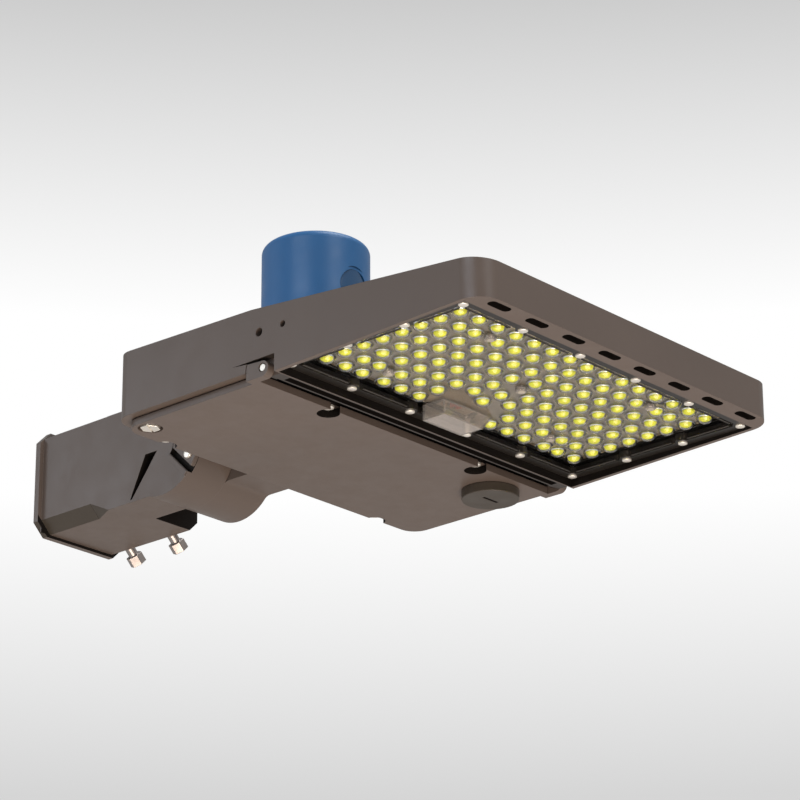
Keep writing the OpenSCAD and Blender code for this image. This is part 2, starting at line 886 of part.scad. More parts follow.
module led_leads() {
    z0 = floor_z - board_t;
    y0 = duct_y0 + window_l / 2 + lead_r;
    color(red_c) at_head() for (s = [-1, 1]) translate([s * lead_dx, y0, 0]) {
        translate([0, 0, plate_z + plate_t - chip_h])
            cylinder(r = lead_r, h = duct_z - plate_z - plate_t + chip_h);
        translate([0, 0, duct_z]) sphere(lead_r);
        translate([0, 0, duct_z]) rotate([-90, 0, 0]) cylinder(r = lead_r, h = driver_y - y0);
        translate([0, 0, z0 - lead_r]) rotate([90, 0, 0]) cylinder(r = lead_r, h = lead_tail);
    }
}

module lead_grommet() {
    color(rubber_c) at_head() translate([0, bay_wall_y - grommet_l, duct_z]) rotate([-90, 0, 0]) difference() {
        union() {
            cylinder(r = duct_r, h = grommet_l);
            translate([0, 0, grommet_l]) cylinder(r = duct_r + lead_r, h = lead_r);
        }
        for (s = [-1, 1]) translate([s * lead_dx, 0, -over])
            cylinder(r = lead_r, h = grommet_l + lead_r + 2 * over);
    }
}

// Driver bay

module gear_tray() {
    color(steel) at_head() difference() {
        translate([0, 0, tray_z]) linear_extrude(tray_t) difference() {
            union() {
                translate([-tray_w / 2, tray_y0]) square([tray_w, tray_l]);
                for (s = [-1, 1]) tray_arms(s);
            }
            translate([plug_x, plug_y]) circle(plug_neck_r + tray_arm / 2);
        }
        at_tray_screws() translate([0, 0, -over]) cylinder(r = tray_shank_r + run_gap, h = 2 * over + tray_t);
        at_driver_screws() translate([0, 0, -over])
            cylinder(r = frame_shank_r + run_gap, h = 2 * over + tray_t);
    }
}

// Outline of the arms that reach the four tray screws on side s
module tray_arms(s) {
    rear_y = body_l - rear_lip;
    translate([s * tray_rear_dx - tray_arm / 2, tray_y0]) square([tray_arm, rear_y - tray_y0 - side_gap]);
    translate([s * tray_rear_dx - tray_head_r, rear_y - over])
        square([2 * tray_head_r, tray_rear_y - rear_y + over]);
    translate([s * tray_rear_dx, tray_rear_y]) circle(tray_head_r);
    translate([s * tray_front_dx - tray_head_r, tray_front_y])
        square([2 * tray_head_r, tray_y0 - tray_front_y + over]);
    translate([s * tray_front_dx, tray_front_y]) circle(tray_head_r);
}

module at_driver_screws() {
    for (s = [-1, 1]) translate([s * driver_screw_dx, driver_y + driver_l / 2, 0]) children();
}

module tray_screws() {
    color(steel) at_head() at_tray_screws() translate([0, 0, tray_z - tray_head_h])
        pan_screw(tray_head_r, tray_head_h, tray_shank_r, tray_bite - tray_z);
}

module led_driver() {
    z0 = tray_z + tray_t;
    body_x = driver_w / 2 - driver_foot;
    color(white_c) at_head() difference() {
        union() {
            box(-body_x, body_x, driver_y, driver_y + driver_l, z0, z0 + driver_h);
            box(-driver_w / 2, driver_w / 2, driver_y, driver_y + driver_l, z0, z0 + driver_foot_t);
        }
        at_driver_screws() cylinder(r = frame_shank_r + run_gap, h = driver_h);
    }
}

module driver_screws() {
    color(steel) at_head() at_driver_screws() translate([0, 0, tray_z + tray_t + driver_foot_t + frame_head_h])
        mirror([0, 0, 1]) pan_screw(driver_screw_r, frame_head_h, frame_shank_r, driver_foot_t + tray_t);
}

module surge_protector() {
    y0 = body_l - wall - surge_l;
    color(dark) at_head() difference() {
        box(surge_x, surge_x + surge_w, y0, body_l - wall, surge_z, surge_z + surge_h);
        translate([surge_x + surge_w / 2, y0 - over, surge_z + surge_h / 2]) rotate([-90, 0, 0])
            cylinder(r = surge_hole_r, h = block_hole_d + over);
    }
}

module terminal_block() {
    step = term_w / term_n;
    y0 = body_l - wall - term_l;
    color(ivory_c) at_head() difference() {
        box(term_x, term_x + term_w, y0, body_l - wall, term_z, term_z + term_h);
        for (i = [0:term_n - 1]) translate([term_x + (i + 1 / 2) * step, y0 - over, term_z + term_h / 2])
            rotate([-90, 0, 0]) cylinder(r = term_hole_r, h = block_hole_d + over);
    }
}

module ground_screw() {
    color(green_c) at_head() translate([ground_x, body_l - wall - frame_head_h, ground_z]) rotate([-90, 0, 0])
        pan_screw(tray_head_r, frame_head_h, frame_shank_r, wall - frame_head_h);
}

// Door

module hinge_pins() {
    color(steel) at_head() translate([0, pin_y, pin_z]) for (s = [-1, 1]) mirror([s < 0 ? 1 : 0, 0, 0])
        drum_x(pin_r, inner_w / 2 - beam_end, body_w / 2 - pin_recess);
}

module ear_outline() {
    polygon([[pin_y, ear_nose_z - ear_r], [ear_y1, door_z], [ear_y1, -ear_gap / 2], [pin_y, ear_front_top]]);
    intersection() {
        polygon([[pin_y, pin_z], [ear_end, -ear_gap / 2], [ear_end, ear_top], [pin_y, ear_front_top]]);
        translate([pin_y, pin_z]) circle(ear_swing_r);
    }
    translate([pin_y, ear_nose_z]) circle(ear_r);
}

module door_ears() {
    for (s = [-1, 1]) difference() {
        translate([s * (door_w + ear_t) / 2, 0, 0]) along_x(ear_t) ear_outline();
        translate([0, pin_y, pin_z]) drum_x(pin_r + run_gap, -body_w, body_w);
        translate([s * body_w / 2, pin_y, pin_z]) drum_x(pin_r + pin_counter, -pin_counter_l, pin_counter_l);
    }
}

module driver_door() {
    color(bronze) at_head() {
        difference() {
            union() {
                difference() {
                    translate([0, door_y0, door_z]) linear_extrude(door_h) door_plan();
                    translate([0, door_y0 + door_rim, door_z + door_t]) linear_extrude(door_h)
                        round_rect(door_w - 2 * door_rim, door_l - 2 * door_rim, door_top, door_r - door_rim);
                }
                translate([cap_x, cap_y, door_z]) intersection() {
                    cylinder(r = cap_boss_r, h = door_h);
                    translate([-cap_x, door_y0 - cap_y, 0]) linear_extrude(door_h) door_plan();
                }
                at_tray_screws() translate([0, 0, door_z]) intersection() {
                    cylinder(r = notch_r + door_t, h = door_h);
                    translate([-door_w, -2 * notch_r, 0]) cube([2 * door_w, 4 * notch_r, door_h]);
                }
            }
            door_trim();
            at_tray_screws() translate([0, 0, door_z - over]) cylinder(r = notch_r, h = door_h + 2 * over);
            translate([cap_x, cap_y, door_z - over]) {
                cylinder(r = cap_recess_r, h = cap_head_h - cap_proud + over);
                cylinder(r = cap_r + run_gap, h = door_h + 2 * over);
            }
            translate([plug_x, plug_y, door_z - over])
                cylinder(r = plug_neck_r + run_gap, h = door_h + 2 * over);
        }
        door_ears();
    }
}

module door_plan() {
    round_rect(door_w, door_l, door_top, door_r);
}

// Everything outside the door's plan, to square off the notch walls at its edges
module door_trim() {
    translate([0, 0, door_z - over]) linear_extrude(door_h + 2 * over) difference() {
        translate([-door_w, door_y0 - 4 * notch_r]) square([2 * door_w, door_l + 8 * notch_r]);
        translate([0, door_y0]) door_plan();
    }
}

module captive_screw() {
    color(steel) at_head() translate([cap_x, cap_y, door_z - cap_proud]) rotate(30)
        slotted(cap_af, cap_slot, cap_slot) union() {
            cylinder(r = cap_af / 2 / cos(30), h = cap_head_h, $fn = 6);
            cylinder(r = cap_r, h = cap_len - door_z);
        }
}

module captive_clip() {
    color(dark) at_head() translate([cap_x, cap_y, -door_top + run_gap]) difference() {
        cylinder(r = clip_r, h = clip_t);
        translate([0, 0, -over]) cylinder(r = cap_r, h = clip_t + 2 * over);
    }
}

module sensor_plug() {
    color(bronze) at_head() translate([plug_x, plug_y, door_z - plug_skin]) difference() {
        union() {
            translate([0, 0, -plug_h]) cylinder(r = plug_r, h = plug_h);
            cylinder(r = plug_neck_r, h = door_h - door_top);
        }
        translate([-plug_slot_l / 2, -plug_slot_w / 2, -plug_h - over])
            cube([plug_slot_l, plug_slot_w, plug_slot_d + over]);
        translate([0, 0, door_t]) cylinder(r = plug_neck_r - door_t, h = door_h);
        translate([0, 0, -gasket_t]) difference() {
            cylinder(r = plug_neck_r + door_t, h = gasket_t + over);
            translate([0, 0, -over]) cylinder(r = plug_neck_r, h = gasket_t + 3 * over);
        }
    }
}

module plug_gasket() {
    color(rubber_c) at_head() translate([plug_x, plug_y, door_z - plug_skin - gasket_t]) difference() {
        cylinder(r = plug_neck_r + door_t, h = gasket_t);
        translate([0, 0, -over]) cylinder(r = plug_neck_r, h = gasket_t + 2 * over);
    }
}

// Photocontrol

module at_cell() {
    at_head() translate([0, cell_y, 0]) children();
}

// Ring segment between two radii, centred on angle a, of width w degrees
module arc_block(r0, r1, a, w, h) {
    intersection() {
        difference() {
            cylinder(r = r1, h = h);
            translate([0, 0, -over]) cylinder(r = r0, h = h + 2 * over);
        }
        linear_extrude(h) polygon([[0, 0], [2 * r1 * cos(a - w / 2), 2 * r1 * sin(a - w / 2)],
            [2 * r1 * cos(a), 2 * r1 * sin(a)], [2 * r1 * cos(a + w / 2), 2 * r1 * sin(a + w / 2)]]);
    }
}

module receptacle() {
    z0 = pad_z + seal_t;
    color(dark) at_cell() difference() {
        union() {
            translate([0, 0, z0]) cylinder(r = recept_r, h = recept_flange);
            translate([0, 0, z0]) cylinder(r = recept_body_r, h = recept_h);
            translate([0, 0, pad_z - pad_t - neck_l])
                cylinder(r = neck_r, h = z0 - pad_z + pad_t + neck_l + over);
        }
        for (i = [0:blade_n - 1]) translate([0, 0, z0 + recept_h - blade_l - blade_gap])
            arc_block(blade_r - blade_t / 2 - blade_gap, blade_r + blade_t / 2 + blade_gap,
                blade_angle(i) + twist_deg / 2, blade_deg + twist_deg + blade_slack_deg, blade_l + 2 * over);
        at_recept_screws() {
            translate([0, 0, z0 - over]) cylinder(r = recept_screw_r + run_gap, h = recept_h + 2 * over);
            translate([0, 0, z0 + recept_flange]) cylinder(r = frame_screw_r + blade_gap, h = recept_h);
        }
    }
}

module receptacle_gasket() {
    color(rubber_c) at_cell() translate([0, 0, pad_z]) difference() {
        cylinder(r = recept_r, h = seal_t);
        translate([0, 0, -over]) cylinder(r = neck_r + run_gap, h = seal_t + 2 * over);
        at_recept_screws() translate([0, 0, -over])
            cylinder(r = recept_screw_r + run_gap, h = seal_t + 2 * over);
    }
}

module receptacle_screws() {
    z1 = pad_z + seal_t + recept_flange + frame_head_h;
    color(steel) at_cell() at_recept_screws() translate([0, 0, z1]) mirror([0, 0, 1])
        pan_screw(frame_screw_r, frame_head_h, recept_screw_r, pad_t + seal_t + recept_flange - tip_gap);
}

module cell_outer(r, h) {
    rotate_extrude() {
        square([r - cell_edge, h]);
        square([r, h - cell_edge]);
        translate([r - cell_edge, h - cell_edge]) circle(cell_edge);
        polygon([[0, 0], [r + cell_flare, 0], [r, cell_flare_h], [0, cell_flare_h]]);
    }
}

module photocell_cover() {
    color(blue) at_cell() translate([0, 0, cell_z0]) difference() {
        intersection() {
            cell_outer(cell_r, cell_h);
            cylinder(r = 2 * cell_r, h = cell_h);
        }
        translate([0, 0, -over]) cylinder(r = cell_r - cell_wall, h = cell_h - cell_wall - cell_edge + over);
        translate([0, 0, win_z]) rotate([90, 0, 0]) {
            cylinder(r = win_r + run_gap, h = 2 * cell_r);
            translate([0, 0, cell_r - win_recess]) cylinder(r = win_r + cell_wall, h = cell_r);
        }
    }
}

module photocell_window() {
    color(clear) at_cell() translate([0, 0, cell_z0 + win_z]) intersection() {
        rotate([90, 0, 0]) cylinder(r = win_r, h = 2 * cell_r);
        translate([0, 0, -2 * win_r]) difference() {
            cylinder(r = cell_r - win_recess, h = 4 * win_r);
            translate([0, 0, -over]) cylinder(r = cell_r - cell_wall, h = 4 * win_r + 2 * over);
        }
    }
}

module photocell_base() {
    color(dark) at_cell() translate([0, 0, cell_z0]) cylinder(r = cell_r - cell_wall, h = base_t);
}

module photocell_board() {
    board_top = win_z + win_r / 2 - base_t;
    color(green_c) at_cell() translate([0, 0, cell_z0 + base_t]) {
        box(-cell_r / 2, cell_r / 2, -board_t, board_t, 0, board_top);
        translate([0, -board_t, win_z - base_t])
            box(-eye_w / 2, eye_w / 2, -eye_t, over / 2, -eye_w / 2, eye_w / 2);
    }
}

module photocell_contacts() {
    color(brass_c) at_cell() translate([0, 0, cell_z0 - blade_l]) for (i = [0:blade_n - 1])
        arc_block(blade_r - blade_t / 2, blade_r + blade_t / 2, blade_angle(i), blade_deg, blade_l);
}

function blade_angle(i) = 90 + i * 360 / blade_n;

// Slip-fitter arm

module arm_section() {
    difference() {
        translate([-arm_w / 2, -arm_low]) square([arm_w, arm_low + arm_top]);
        translate([arm_w / 2, -arm_low]) rotate(45) square(2 * far_c * cos(45), center = true);
    }
}

// Chamfer along the near lower edge: even at first, then running out
module near_chamfer() {
    depth = near_c * cos(45);
    big = 2 * near_c;
    translate([-arm_w / 2, -near_c_end, -arm_low]) rotate([0, 45, 0]) {
        translate([-big, 0, -big]) cube([2 * big, near_c_end - flange_t, big + depth]);
        translate([0, 0, depth]) rotate([atan(depth / near_c_fade), 0, 0])
            translate([-big, -2 * near_c_fade, -big]) cube([2 * big, 2 * near_c_fade + over / 2, big]);
    }
}

module flange_section() {
    low = flange_hgt - (arm_top + arm_low) - (flange_w - arm_w) / 2;
    z0 = -arm_low - low / 2;
    z1 = z0 + flange_hgt;
    w = flange_w / 2;
    c = flange_c;
    polygon([[c - w, z0], [w - c, z0], [w, z0 + c], [w, z1 - c],
        [w - c, z1], [c - w, z1], [-w, z1 - c], [-w, z0 + c]]);
}

module toward_pole(l) {
    rotate([90, 0, 0]) linear_extrude(l) children();
}

module deck() {
    translate([0, -deck_y0, 0]) toward_pole(pivot_reach - deck_y0 - disc_low_y)
        polygon([[-arm_w / 2, arm_top - over], [arm_w / 2, arm_top - over], [arm_w / 2, arm_top + deck_h],
            [deck_in - arm_w / 2, arm_top + deck_h], [-arm_w / 2, arm_top + deck_h - deck_in + over]]);
}

module slip_fitter_arm() {
    far_y = -socket_l - end_wall;
    color(bronze) difference() {
        union() {
            translate([0, over - flange_t, 0]) toward_pole(socket_l + end_wall - flange_t + over) arm_section();
            toward_pole(flange_t) flange_section();
            intersection() {
                union() {
                    box(-arm_w / 2, cheek_in, disc_low_y - pivot_reach, far_y + over, -arm_low, arm_top);
                    box(-arm_w / 2, cheek_in, -pivot_reach, far_y + over, pivot_z, pivot_z + disc_r);
                    at_pivot() drum_x(disc_r, -arm_w / 2, cheek_in);
                }
                box(-arm_w, cheek_in, -2 * pivot_reach, 0, -2 * arm_low, 2 * arm_top);
            }
            intersection() {
                deck();
                union() {
                    box(-arm_w, cheek_in, -2 * pivot_reach, 0, 0, 2 * arm_top);
                    box(-arm_w, arm_w, far_y, 0, 0, 2 * arm_top);
                }
            }
            at_pivot() bar_rib();
        }
        near_chamfer();
        translate([0, -socket_l, 0]) rotate([-90, 0, 0]) cylinder(r = socket_r, h = socket_l + over);
        translate([cheek_in - cheek_cav / 2, 0, pivot_z]) rotate([90, 0, 0])
            cylinder(r = cheek_duct_r, h = pivot_reach);
        at_pivot() {
            drum_x(bolt_r + run_gap, bolt_end - tip_gap - arm_w / 2, over);
            drum_x(duct_cav_r, cheek_in - cheek_cav, over);
            difference() {
                drum_x(ring_out + run_gap, cheek_in - ring_t, over);
                drum_x(ring_in - run_gap, cheek_in - ring_t - over, 2 * over);
            }
            v_groove();
            quadrant(quad_d, 0);
            quad_screw_hole();
        }
        at_tenon_bolts() cylinder(r = tb_r + run_gap, h = 2 * tb_dist);
    }
}

module at_tenon_bolts() {
    for (i = [0, 1]) at_tenon_bolt(i) children();
}

module at_tenon_bolt(i) {
    translate([0, tb_y0 - i * tenon_bolt_pitch, 0]) rotate([0, 135, 0]) children();
}

module v_groove() {
    translate([-arm_w / 2 - over, 0, 0]) rotate([90, 0, 90]) linear_extrude(groove_d + over)
        polygon([[groove_y0, -groove_z0], [groove_y0 + groove_w0, -groove_z0],
            [groove_y1 + groove_w1, -groove_z1], [groove_y1, -groove_z1]]);
}

// Sector of the disc's near face that carries the angle lock, inset by gap on all sides
module quadrant(depth, gap) {
    n = ceil((quad_deg - quad_end) / quad_step);
    cut = gap > 0 ? 0 : over;
    translate([-arm_w / 2 - cut, 0, 0]) rotate([90, 0, 90]) linear_extrude(depth + cut) difference() {
        intersection() {
            circle(gap > 0 ? disc_r - gap : 2 * disc_r);
            polygon(concat([[0, 0]],
                [for (i = [0:n]) 3 * disc_r * along(quad_deg - i * (quad_deg - quad_end) / n)]));
        }
        circle(quad_hub + gap);
        if (gap > 0) {
            rotate(quad_deg) translate([0, -quad_channel]) square([2 * disc_r, 2 * quad_channel]);
            rotate(quad_end) translate([0, -gap]) square([2 * disc_r, 2 * gap]);
        }
    }
}

function along(a) = [cos(a), sin(a)];

module bar_rib() {
    translate([-arm_w / 2 - bar_proud, 0, 0]) rotate([90, 0, 90]) linear_extrude(bar_proud + over)
        rotate(quad_deg) translate([quad_hub, over / 2]) square([disc_r - quad_hub - over, bar_w]);
}

module quad_screw_hole() {
    rotate([quad_screw_deg, 0, 0]) translate([0, quad_screw_at, 0])
        drum_x(frame_shank_r + run_gap, -arm_w, quad_d + frame_screw_bite + tip_gap - arm_w / 2);
}

module angle_lock_bracket() {
    color(bronze) at_pivot() difference() {
        quadrant(quad_d, seat_gap);
        quad_screw_hole();
    }
}

module bracket_screws() {
    color(steel) at_pivot() rotate([quad_screw_deg, 0, 0])
        translate([-arm_w / 2 - quad_screw_h, quad_screw_at, 0]) rotate([0, 90, 0])
            pan_screw(quad_screw_r, quad_screw_h, frame_shank_r, quad_d + frame_screw_bite);
}

module pivot_bolt() {
    x1 = arm_w / 2 - head_recess + run_gap + washer_t;
    color(steel) at_pivot() difference() {
        union() {
            drum_x(head_r, x1, x1 + head_hgt);
            drum_x(bolt_r, bolt_end - arm_w / 2, x1 + over);
        }
        translate([x1 + head_hgt - hex_key_d, 0, 0]) rotate([0, 90, 0])
            cylinder(r = hex_key_r, h = hex_key_d + over, $fn = 6);
    }
}

module pivot_washer() {
    x0 = arm_w / 2 - head_recess + run_gap;
    color(steel) at_pivot() difference() {
        drum_x(washer_r, x0, x0 + washer_t);
        drum_x(bolt_r, x0 - over, x0 + washer_t + over);
    }
}

module friction_ring() {
    color(dark) at_pivot() difference() {
        drum_x(ring_out, cheek_in - ring_t, cheek_in + (tongue_in - cheek_in) / 2);
        drum_x(ring_in, cheek_in - ring_t - over, over);
    }
}

module tenon_bolt(i) {
    z0 = socket_r + tb_tip;
    z1 = tb_dist + tb_out;
    color(steel) at_tenon_bolt(i) {
        translate([0, 0, z0]) cylinder(r = tb_r, h = z1 - z0 + over);
        translate([0, 0, z1]) cylinder(r = tb_head_r, h = tb_head_h, $fn = 6);
    }
}

module tenon_bolt_front() {
    tenon_bolt(1);
}

module tenon_bolt_rear() {
    tenon_bolt(0);
}

housing();
knuckle();
knuckle_bolts();
lens_frame();
lens_plate();
lens_gasket();
lens_frame_screws();
inner_lens_screws();
led_board();
led_chips();
wire_cover();
wire_cover_screw();
led_leads();
lead_grommet();
gear_tray();
tray_screws();
led_driver();
driver_screws();
surge_protector();
terminal_block();
ground_screw();
hinge_pins();
driver_door();
captive_screw();
captive_clip();
sensor_plug();
plug_gasket();
receptacle();
receptacle_gasket();
receptacle_screws();
photocell_cover();
photocell_base();
photocell_board();
photocell_window();
photocell_contacts();
slip_fitter_arm();
angle_lock_bracket();
bracket_screws();
pivot_bolt();
pivot_washer();
friction_ring();
tenon_bolt_front();
tenon_bolt_rear();
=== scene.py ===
import math

import bmesh
import bpy
from mathutils import Matrix, Vector


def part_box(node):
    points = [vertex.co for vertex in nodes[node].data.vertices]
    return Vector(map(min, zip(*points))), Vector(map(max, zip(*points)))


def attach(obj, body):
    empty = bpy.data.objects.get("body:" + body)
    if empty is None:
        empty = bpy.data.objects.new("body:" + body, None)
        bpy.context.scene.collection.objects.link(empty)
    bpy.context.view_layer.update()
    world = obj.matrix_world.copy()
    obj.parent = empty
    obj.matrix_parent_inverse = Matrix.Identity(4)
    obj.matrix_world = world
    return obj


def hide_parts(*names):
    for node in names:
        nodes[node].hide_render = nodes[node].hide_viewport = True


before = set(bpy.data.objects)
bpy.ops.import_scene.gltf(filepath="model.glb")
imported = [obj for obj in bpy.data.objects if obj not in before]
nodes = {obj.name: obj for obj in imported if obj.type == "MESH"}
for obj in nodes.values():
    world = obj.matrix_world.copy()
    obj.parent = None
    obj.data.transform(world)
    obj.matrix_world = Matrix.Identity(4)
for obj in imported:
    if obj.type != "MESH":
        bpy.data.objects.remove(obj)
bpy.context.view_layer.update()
scene = bpy.context.scene

# The head's own origin in the shared frame, metres: front face, centre line, door seat plane
HEAD = Vector((0.0, -0.571, -0.036))


# Procedural materials

BEVEL_SAMPLES = 4
# Cosine between the rounded and the true normal: where the lightened edge (part wear, part painted
# highlight) starts, where it is full
LEAN_SPAN = (0.99, 0.75)
# Sockets of the colour Mix node
MIX_A, MIX_B, MIX_OUT = 6, 7, 2
# The part of a noise's values that is stretched to the full range
NOISE_SPAN = (0.3, 0.7)
WEAR_AND_HIGHLIGHT_RADIUS = 0.0006
WEAR_AND_HIGHLIGHT_SCALE = 180.0
WEAR_AND_HIGHLIGHT_SPAN = (0.4, 0.65)
WEAR_AND_HIGHLIGHT_GAIN = 2.2
WEAR_AND_HIGHLIGHT_ADD = 0.02
ROUGH_SCALE = 60.0
ROUGH_SPREAD = 0.15
CLEAR_TINT_SCALE = 20.0
CLEAR_TINT = 0.04
CLEAR_ROUGH_SCALE = 40.0
CLEAR_ROUGH_SPREAD = 0.3
CLEAR_RIPPLE_SCALE = 120.0
CLEAR_RIPPLE_DEPTH = 0.0001
CLEAR_IOR = 1.49

class Tree:
    """A small helper for building one node material."""

    def __init__(self, name):
        self.mat = bpy.data.materials.new(name)
        self.mat.use_nodes = True
        self.t = self.mat.node_tree
        self.bsdf = self.t.nodes["Principled BSDF"]
        self.coord = self.add("ShaderNodeTexCoord")

    def add(self, kind, **props):
        n = self.t.nodes.new(kind)
        for k, v in props.items():
            setattr(n, k, v)
        return n

    def link(self, a, b):
        self.t.links.new(a, b)

    def noise(self, scale, detail=3.0, rough=0.5):
        n = self.add("ShaderNodeTexNoise")
        n.inputs["Scale"].default_value = scale
        n.inputs["Detail"].default_value = detail
        n.inputs["Roughness"].default_value = rough
        self.link(self.coord.outputs["Object"], n.inputs["Vector"])
        return n.outputs["Fac"]

    def spread(self, value, low, high, out_low, out_high):
        n = self.add("ShaderNodeMapRange")
        n.inputs["From Min"].default_value = low
        n.inputs["From Max"].default_value = high
        n.inputs["To Min"].default_value = out_low
        n.inputs["To Max"].default_value = out_high
        self.link(value, n.inputs["Value"])
        return n.outputs["Result"]

    def math(self, op, a, b):
        n = self.add("ShaderNodeMath", operation=op)
        for i, v in enumerate((a, b)):
            if isinstance(v, (int, float)):
                n.inputs[i].default_value = v
            else:
                self.link(v, n.inputs[i])
        return n.outputs[0]

    def blend(self, fac, a, b):
        n = self.add("ShaderNodeMix", data_type="RGBA")
        if isinstance(fac, (int, float)):
            n.inputs["Factor"].default_value = fac
        else:
            self.link(fac, n.inputs["Factor"])
        for i, v in ((MIX_A, a), (MIX_B, b)):
            if isinstance(v, tuple):
                n.inputs[i].default_value = v
            else:
                self.link(v, n.inputs[i])
        return n.outputs[MIX_OUT]

    def rounded_normal(self, radius):
        b = self.add("ShaderNodeBevel")
        b.samples = BEVEL_SAMPLES
        b.inputs["Radius"].default_value = radius
        return b.outputs["Normal"]

    def edges(self, radius):
        """1 on sharp edges, 0 on flats, from how far the rounded normal leans."""
        true = self.add("ShaderNodeNewGeometry")
        lean = self.add("ShaderNodeVectorMath", operation="DOT_PRODUCT")
        self.link(self.rounded_normal(radius), lean.inputs[0])
        self.link(true.outputs["Normal"], lean.inputs[1])
        return self.spread(lean.outputs["Value"], *LEAN_SPAN, 0.0, 1.0)

    def bump(self, height, strength, distance, rounding=0.0):
        n = self.add("ShaderNodeBump")
        n.inputs["Strength"].default_value = strength
        n.inputs["Distance"].default_value = distance
        self.link(height, n.inputs["Height"])
        if rounding:
            self.link(self.rounded_normal(rounding), n.inputs["Normal"])
        self.link(n.outputs["Normal"], self.bsdf.inputs["Normal"])


def rgb(r, g, b):
    return (r, g, b, 1.0)


def plain(name, colour, rough, metal=0.0, tint=0.12, grain=600.0, bump=0.15, depth=0.00005,
          edge=0.0, rounding=0.0, ior=1.5, patch=14.0, glow=0.0):
    """Paint, metal or plastic: mottled colour and roughness, fine bump, edges lightened for wear and as
    painted highlight, and a faint glow, where given, as painted light.
    """
    t = Tree(name)
    lo = tuple(c * (1 - tint) for c in colour[:3]) + (1.0,)
    hi = tuple(min(1.0, c * (1 + tint)) for c in colour[:3]) + (1.0,)
    col = t.blend(t.spread(t.noise(patch, 4.0), *NOISE_SPAN, 0.0, 1.0), lo, hi)
    # Sharp edges lightened: part wear, part painted highlight on the darker paints.
    if edge:
        patchy = t.spread(t.noise(WEAR_AND_HIGHLIGHT_SCALE), *WEAR_AND_HIGHLIGHT_SPAN, 0.0, edge)
        worn_and_lit = t.math("MULTIPLY", t.edges(WEAR_AND_HIGHLIGHT_RADIUS), patchy)
        light = tuple(min(1.0, c * WEAR_AND_HIGHLIGHT_GAIN + WEAR_AND_HIGHLIGHT_ADD) for c in colour[:3]) + (1.0,)
        col = t.blend(worn_and_lit, col, light)
    t.link(col, t.bsdf.inputs["Base Color"])
    uneven = t.spread(t.noise(ROUGH_SCALE, 2.0), *NOISE_SPAN,
                      rough * (1 - ROUGH_SPREAD), rough * (1 + ROUGH_SPREAD))
    t.link(uneven, t.bsdf.inputs["Roughness"])
    t.bsdf.inputs["Metallic"].default_value = metal
    t.bsdf.inputs["IOR"].default_value = ior
    t.bsdf.inputs["Emission Color"].default_value = colour
    t.bsdf.inputs["Emission Strength"].default_value = glow
    t.bump(t.noise(grain, 2.0), bump, depth, rounding)
    return t.mat


def clear(name, colour, rough=0.03, ripple=0.04, through=1.0):
    """Clear moulded plastic with a faint ripple."""
    t = Tree(name)
    lo = tuple(c * (1 - CLEAR_TINT) for c in colour[:3]) + (1.0,)
    t.link(t.blend(t.noise(CLEAR_TINT_SCALE, 2.0), lo, colour), t.bsdf.inputs["Base Color"])
    uneven = t.spread(t.noise(CLEAR_ROUGH_SCALE), *NOISE_SPAN,
                      rough * (1 - CLEAR_ROUGH_SPREAD), rough * (1 + CLEAR_ROUGH_SPREAD))
    t.link(uneven, t.bsdf.inputs["Roughness"])
    t.bsdf.inputs["Transmission Weight"].default_value = through
    t.bsdf.inputs["IOR"].default_value = CLEAR_IOR
    t.bump(t.noise(CLEAR_RIPPLE_SCALE, 2.0), ripple, CLEAR_RIPPLE_DEPTH)
    return t.mat


